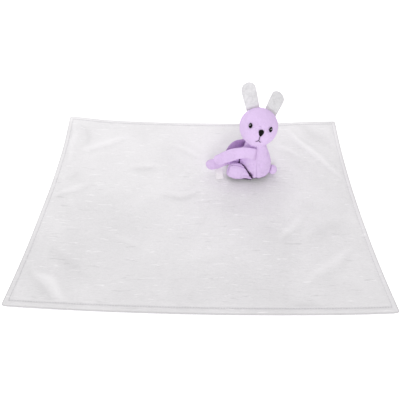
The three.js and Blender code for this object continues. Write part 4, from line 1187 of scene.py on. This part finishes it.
class BLANKET_OT_arms(Operator):
    """Builds both layers of each arm and the blank care label, and gives the hook and loop patches their
    finish
    """

    bl_idname = "blanket.arms"
    bl_label = "Arms and label"

    def execute(self, context):
        look = context.scene.rabbit_look
        finish = finishes(context)
        far = shoulder(1.0, FAR_SHOULDER)
        run = [np.array([far[0] + (CLASP[0] - far[0]) * share, y, z]) for share, y, z in FAR_RUN]
        wrist = 1.4 * GRIP
        ends = [along_clasp(step) for step in (-GRIP / 2.0, 0.0, GRIP / 2.0, GRIP, wrist)]
        tip = along_clasp(wrist) + sloping(HAND_DROP) * (HAND - wrist)
        self.arm("arm_right", 1.0, np.array([far, *run, *ends, tip]), 0.0, look, finish)
        near = shoulder(-1.0, NEAR_SHOULDER)
        ends = [along_clasp(step, STACK_RISE, CLASP_SHIFT) for step in (-GRIP, 0.0, GRIP)]
        bows = [NEAR_RISE * math.sin(math.pi * share) for share in NEAR_ARCH]
        arch = [near + (ends[0] - near) * share + bow for share, bow in zip(NEAR_ARCH, bows)]
        self.arm("arm_left", -1.0, np.array([near, *arch, *ends]), ARM_LEAN, look, finish)
        for node in ("hook_patch", "loop_patch"):
            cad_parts[node].data.materials.clear()
            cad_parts[node].data.materials.append(finish["tape"])
        self.label(finish)
        return {"FINISHED"}

    def arm(self, name, side, places, root_lean, look, finish):
        """A band with a round end along the route. Its layers swell out of the seam between them, with
        wrinkles across the band. Its root is slanted, the lower edge further back, and kept off the torso."""
        route = route_through(places, ARM_ROWS)
        length = np.linalg.norm(np.diff(route, axis=0), axis=1).sum()
        share = np.linspace(0.0, 1.0, ARM_ROWS)
        ease = smooth((share - 0.1) / 0.4)
        along, over, out = arm_frame(np.gradient(route, axis=0), root_lean + (ARM_LEAN - root_lean) * ease)
        left = (1.0 - share) * length / (ARM_WIDTH / 2.0)
        round_end = arc(1.0 - np.minimum(left, 1.0))
        across, crown = layer_ring(LAYER_COLUMNS)
        painted_root_shade = 1.0 - smooth(share * length / 9.0)
        for layer, facing in (("outer", -side), ("inner", side)):
            thick = GAP / 2.0 + crown * (ARM_LAYER - 0.1) * np.sqrt(round_end)[:, None]
            aside = round_end[:, None] * across * ARM_WIDTH / 2.0
            spots = route[:, None] + over[:, None] * aside[..., None]
            way, band = np.broadcast_arrays((share * length)[:, None], 0.25 * across * ARM_WIDTH)
            grain = np.stack([way, band, np.full(way.shape, 40.0 * facing)], axis=-1)
            wrinkle = 0.55 * tufts(grain, 7.0, 21) + 0.25 * tufts(3.0 * grain, 7.0, 22)
            slant = ROOT_SLANT * (1.0 - smooth(share * length / ROOT_REACH))[:, None] * (1.0 - across) / 2.0
            spots = spots - along[:, None] * slant[..., None]
            pile = look.pile_height / MM * tufts(spots, 2.4, 23)
            swell = thick + crown * np.sqrt(round_end)[:, None] * (0.6 * wrinkle + pile - 0.3)
            swell = np.maximum(swell, GAP / 2.0)
            spots = spots + out[:, None] * (facing * swell)[..., None]
            spots = clear_of_torso(spots, 0.75)
            # Painted shade on the inner layer, which faces into the loop, easing off towards the hand;
            # painted shade at the root and along the edges between the layers; painted highlight on the
            # wrinkles' tops
            depth = 0.55 * (1.0 - 0.75 * smooth((share - 0.6) / 0.2)) if layer == "inner" else 0.0 * share
            tone = depth[:, None] + 0.4 * painted_root_shade[:, None] + 0.35 * (1.0 - crown) ** 4 - 0.3 * wrinkle * crown
            painted_shading = np.clip(tone, 0.0, 1.0)
            faces = capped(*spots.shape[:2])
            made = make_piece(f"{name}_{layer}", spots + SEAT, faces, finish["plush_lilac"], painted_shading)
            start, end = route[0] + SEAT - along[0] * 2.0, route[0] + SEAT + along[0] * 10.0
            bend_over(made, [f"{name}_{layer}_layer"], start, end)

    def label(self, finish):
        """A satin ribbon that hangs from the arm's lower edge and curls in a half sine wave."""
        top = along_clasp(LABEL_ALONG) - CLASP_FRAME[1] * (ARM_WIDTH / 2.0 + GAP)
        down = turned((0, 1, 0), -LABEL_SLANT) @ turned((1, 0, 0), -LABEL_SWING) @ np.array([0.0, 0.0, -1.0])
        over = np.array([-1.0, 0.0, 0.0])
        over = unit(over - down * (over @ down))
        out = np.cross(over, down)
        side = np.linspace(-LABEL_WIDTH / 2.0, LABEL_WIDTH / 2.0, 37)[None, :]
        edge = CLASP_FRAME[1]
        first = -side * (over @ edge) / (down @ edge) + 0.2
        share = np.linspace(0.0, 1.0, 49)[:, None]
        fall = first + (LABEL_LENGTH - first) * share
        bend = LABEL_CURL * np.sin(math.pi * np.clip(fall, 0.0, None) / LABEL_LENGTH)
        bend = bend + 0.35 * np.sin(side / 3.1 + 2.0 * share) * share
        middle = top + side[..., None] * over + fall[..., None] * down + bend[..., None] * out
        normals = grid_normals(middle, closed=False)
        upper, lower = middle + 0.28 * normals, middle - 0.28 * normals
        # Painted shade along both long edges of the ribbon
        painted_shading = np.exp(-((np.abs(side) - LABEL_WIDTH / 2.0 + 1.2) ** 2) / 0.3) * 0.35 + 0.0 * share
        made = closed_sheet("label_ribbon", upper + SEAT, lower + SEAT, finish["satin"], painted_shading)
        settle(made, "label", ["care_label"])


class BLANKET_OT_legs(Operator):
    """Builds both panels and the filling of each leg, lying on the blanket against the torso"""

    bl_idname = "blanket.legs"
    bl_label = "Legs"

    def execute(self, context):
        look = context.scene.rabbit_look
        finish = finishes(context)
        self.leg("leg_left", -1.0, look, finish)
        self.leg("leg_right", 1.0, look, finish)
        return {"FINISHED"}

    def leg(self, name, side, look, finish):
        """A pear lying along its line from the foot to the hip, taller than wide and puckered at the hip. It
        has painted shade in its groove and puckers, and a painted contact shadow in a band where it lies
        against the torso and along its lower edge."""
        foot, hip = leg_line(side)
        along = unit(hip - foot)
        over = unit(np.cross(UP, along))
        up = np.cross(along, over)
        base = foot - along * LEG["bulge_at"]
        rows, columns = LEG_FILL
        profile = pear(LEG, rows)
        angle = full_turn(columns)
        slim = np.where(profile[:, 0] > 1e-6, profile[:, 0] - 0.9, 0.0)[:, None]
        x, y = slim * np.cos(angle), slim * np.sin(angle) * FOOT_HEIGHT / FOOT_WIDTH
        coarse = base + x[..., None] * over + y[..., None] * up + profile[:, 1, None, None] * along
        seams = np.broadcast_to(np.abs(np.cos(angle)) < 1e-6, coarse.shape[:2])
        grid = finer(plump(coarse, seams, 1.3), *LEG_GRID)
        turn = full_turn(LEG_GRID[1])
        groove = bell(np.abs(np.cos(turn)) * 17.0, 1.5) + np.zeros(grid.shape[:2])
        grid = plush_surface(grid, look.pile_height / MM, 100 + int(side))
        gone = np.linalg.norm(grid - hip, axis=-1)
        near = bell(gone, 26.0)
        gathers = near * (0.5 + 0.5 * np.cos(9.0 * turn + 2.0 * tufts(grid, 12.0, 19)))
        grid = grid - grid_normals(grid) * (0.3 * look.seam_depth / MM * groove + 0.9 * gathers)[..., None]
        placed = self.lying(grid, side, 0.0)
        drawn = np.abs(placed[..., 0] - grid[..., 0])
        # Painted contact shadow against the torso and along the lower edge; painted shade in the groove and
        # the puckers
        rim = bell(torso_clearance(placed) - LEG_CREASE, 2.4) * bell(drawn, 3.0)
        painted_low_shade = smooth((placed[..., 2] - 0.3) / 1.5) * (1.0 - smooth((placed[..., 2] - 8.0) / 5.0))
        painted_contact_shadow = np.maximum(rim, painted_low_shade)
        tone = 0.12 * groove + 0.5 * gathers + 0.3 * painted_contact_shadow + 1.9 * smooth(1.6 * painted_contact_shadow - 0.6)
        painted_shading = np.clip(tone, 0.0, 2.0)
        names = [f"{name}_side", f"{name}_middle"]
        quarter = LEG_GRID[1] // 4
        split = [3 * quarter, quarter] if side * over[1] > 0.0 else [quarter, 3 * quarter]
        covers = panels(names, placed + SEAT, painted_shading, split, finish["plush_lilac"])
        for cover, node in zip(covers, [f"{name}_outer_panel", f"{name}_inner_panel"]):
            settle(cover, name, [node])
        inner = foot + 0.7 * (coarse - foot)
        stuffing = self.lying(inner, side, 2.0) + SEAT
        faces = grid_faces(rows, columns, closed=True)
        made = make_piece(f"{name}_stuffing", stuffing, faces, finish["fibre"])
        settle(made, name, [f"{name}_filling"])

    def lying(self, grid, side, gap):
        """Points kept on the leg's own side, over the blanket and out of the torso."""
        middle = LEG_MIDDLE + side * (GAP / 2.0 + gap)
        y = side * np.maximum(side * grid[..., 1], side * middle)
        placed = np.stack([grid[..., 0], y, np.maximum(grid[..., 2], 0.12 + gap)], axis=-1)
        foot, hip = leg_line(side)
        return short_of_torso(placed, LEG_CREASE + gap, unit((foot - hip)[:2]))


class BLANKET_OT_stage(Operator):
    """Builds the pale floor, the soft lights and the camera at the photograph's angle"""

    bl_idname = "blanket.stage"
    bl_label = "Stage"

    def execute(self, context):
        look = context.scene.stage_look
        scene = context.scene
        floor = Finish("floor")
        speck = floor.noise(40.0, 2.0)
        tone = (0.98 + 0.04 * (speck - 0.5)).held()
        base = tone.mix(BLACK, tuple(look.floor_colour) + (1.0,))
        material = floor.finish(base, 0.8 + 0.1 * speck, speck, 0.0001)
        floor.shader.inputs["Emission Color"].default_value = WHITE
        floor.shader.inputs["Emission Strength"].default_value = look.floor_glow
        corners = np.array([[-1, -1, 0], [1, -1, 0], [1, 1, 0], [-1, 1, 0]]) * FLOOR_REACH + FLOOR_LEVEL * UP
        below = np.array([0.0, 0.0, -9.0])
        make_piece("floor", corners, np.array([[0, 1, 2, 3]]), material, inside=below)
        world = bpy.data.worlds.new("studio")
        world.use_nodes = True
        sky = world.node_tree.nodes["Background"].inputs
        sky["Color"].default_value = WHITE
        sky["Strength"].default_value = look.sky_strength
        scene.world = world
        scene.view_settings.view_transform = "Standard"
        self.light("key", KEY_PLACE, KEY_SIZE, look.key_strength)
        self.light("fill", FILL_PLACE, FILL_SIZE, look.fill_strength)
        lens = bpy.data.cameras.new("camera")
        lens.sensor_width = SENSOR
        lens.lens = LENS
        lens.shift_y = LENS_SHIFT
        camera = bpy.data.objects.new("camera", lens)
        camera.location = CAMERA_PLACE
        camera.rotation_euler = [math.radians(angle) for angle in CAMERA_TURN]
        scene.collection.objects.link(camera)
        scene.camera = camera
        return {"FINISHED"}

    def light(self, name, place, size, power):
        """A round area light that faces the toy's side of the blanket."""
        lamp = bpy.data.lights.new(name, "AREA")
        lamp.shape = "DISK"
        lamp.size = size
        lamp.energy = power
        made = bpy.data.objects.new(name, lamp)
        made.location = place
        made.rotation_euler = (LIGHT_AIM - Vector(place)).to_track_quat("-Z", "Y").to_euler()
        bpy.context.scene.collection.objects.link(made)


def colour_property(name, description, default):
    """A colour in a panel."""
    return FloatVectorProperty(
        name=name, description=description, default=default, subtype="COLOR", min=0.0, max=1.0)


class BLANKET_PG_blanket(PropertyGroup):
    """Sizes and colours of the blanket"""

    pile_colour: colour_property("Pile", "Colour of the silky pile face", (0.84, 0.825, 0.84))
    backing_colour: colour_property("Backing", "Colour of the backing", (0.74, 0.72, 0.75))
    stitch_colour: colour_property(
        "Stitching", "Colour of the topstitching and the eyes' glints", (0.80, 0.79, 0.81))
    fold_height: FloatProperty(
        name="Fold height", description="How high the folds stand", default=0.0028, unit="LENGTH")
    stitch_length: FloatProperty(
        name="Stitch length", description="Length of one stitch of the hem", default=0.0042, unit="LENGTH")


class BLANKET_PG_rabbit(PropertyGroup):
    """Sizes and colours of the plush rabbit"""

    plush_colour: colour_property("Plush", "Colour of the body's plush", (0.82, 0.63, 0.94))
    ear_colour: colour_property("Ears", "Colour of the ears' plush", (0.80, 0.79, 0.81))
    face_colour: colour_property(
        "Face", "Colour of the stitched eyes, nose and mouth", (0.004, 0.0035, 0.0035))
    label_colour: colour_property("Label", "Colour of the blank label", (0.96, 0.92, 0.95))
    pile_height: FloatProperty(
        name="Pile height", description="Relief of the plush", default=0.00035, unit="LENGTH")
    seam_depth: FloatProperty(
        name="Seam depth", description="How far the seams draw the plush in", default=0.0011, unit="LENGTH")


class BLANKET_PG_stage(PropertyGroup):
    """Colours and strengths of the studio"""

    floor_colour: colour_property("Floor", "Colour of the floor", (1.0, 1.0, 1.0))
    floor_glow: FloatProperty(name="Floor glow", description="Light that the floor gives off", default=0.4)
    sky_strength: FloatProperty(name="Sky", description="Strength of the light all round", default=0.54)
    key_strength: FloatProperty(
        name="Key light", description="Power of the light above the back edge", default=5.5, unit="POWER")
    fill_strength: FloatProperty(
        name="Fill light", description="Power of the light in front", default=128.0, unit="POWER")


STEPS = (BLANKET_OT_stage, BLANKET_OT_blanket, BLANKET_OT_torso, BLANKET_OT_head, BLANKET_OT_ears,
         BLANKET_OT_arms, BLANKET_OT_legs)


class BLANKET_PT_panel(Panel):
    """Lists the steps in the order in which they are run"""

    bl_label = "Puppy blanket"
    bl_idname = "BLANKET_PT_panel"
    bl_space_type = "VIEW_3D"
    bl_region_type = "UI"
    bl_category = "Blanket"

    def draw(self, context):
        for group in (context.scene.blanket_look, context.scene.rabbit_look, context.scene.stage_look):
            for key in group.__annotations__:
                self.layout.prop(group, key)
        for step in STEPS:
            self.layout.operator(step.bl_idname)


GROUPS = {
    "blanket_look": BLANKET_PG_blanket,
    "rabbit_look": BLANKET_PG_rabbit,
    "stage_look": BLANKET_PG_stage,
}


def register():
    """Adds the classes and gives the scene its groups of values."""
    for part in (*GROUPS.values(), *STEPS, BLANKET_PT_panel):
        bpy.utils.register_class(part)
    for name, group in GROUPS.items():
        setattr(bpy.types.Scene, name, PointerProperty(type=group))


def unregister():
    """Takes both away again."""
    for name in GROUPS:
        delattr(bpy.types.Scene, name)
    for part in (BLANKET_PT_panel, *reversed(STEPS), *reversed(GROUPS.values())):
        bpy.utils.unregister_class(part)


def main():
    """Runs all steps in order."""
    register()
    bpy.ops.blanket.stage()
    bpy.ops.blanket.blanket()
    bpy.ops.blanket.torso()
    bpy.ops.blanket.head()
    bpy.ops.blanket.ears()
    bpy.ops.blanket.arms()
    bpy.ops.blanket.legs()


if __name__ == "__main__":
    main()
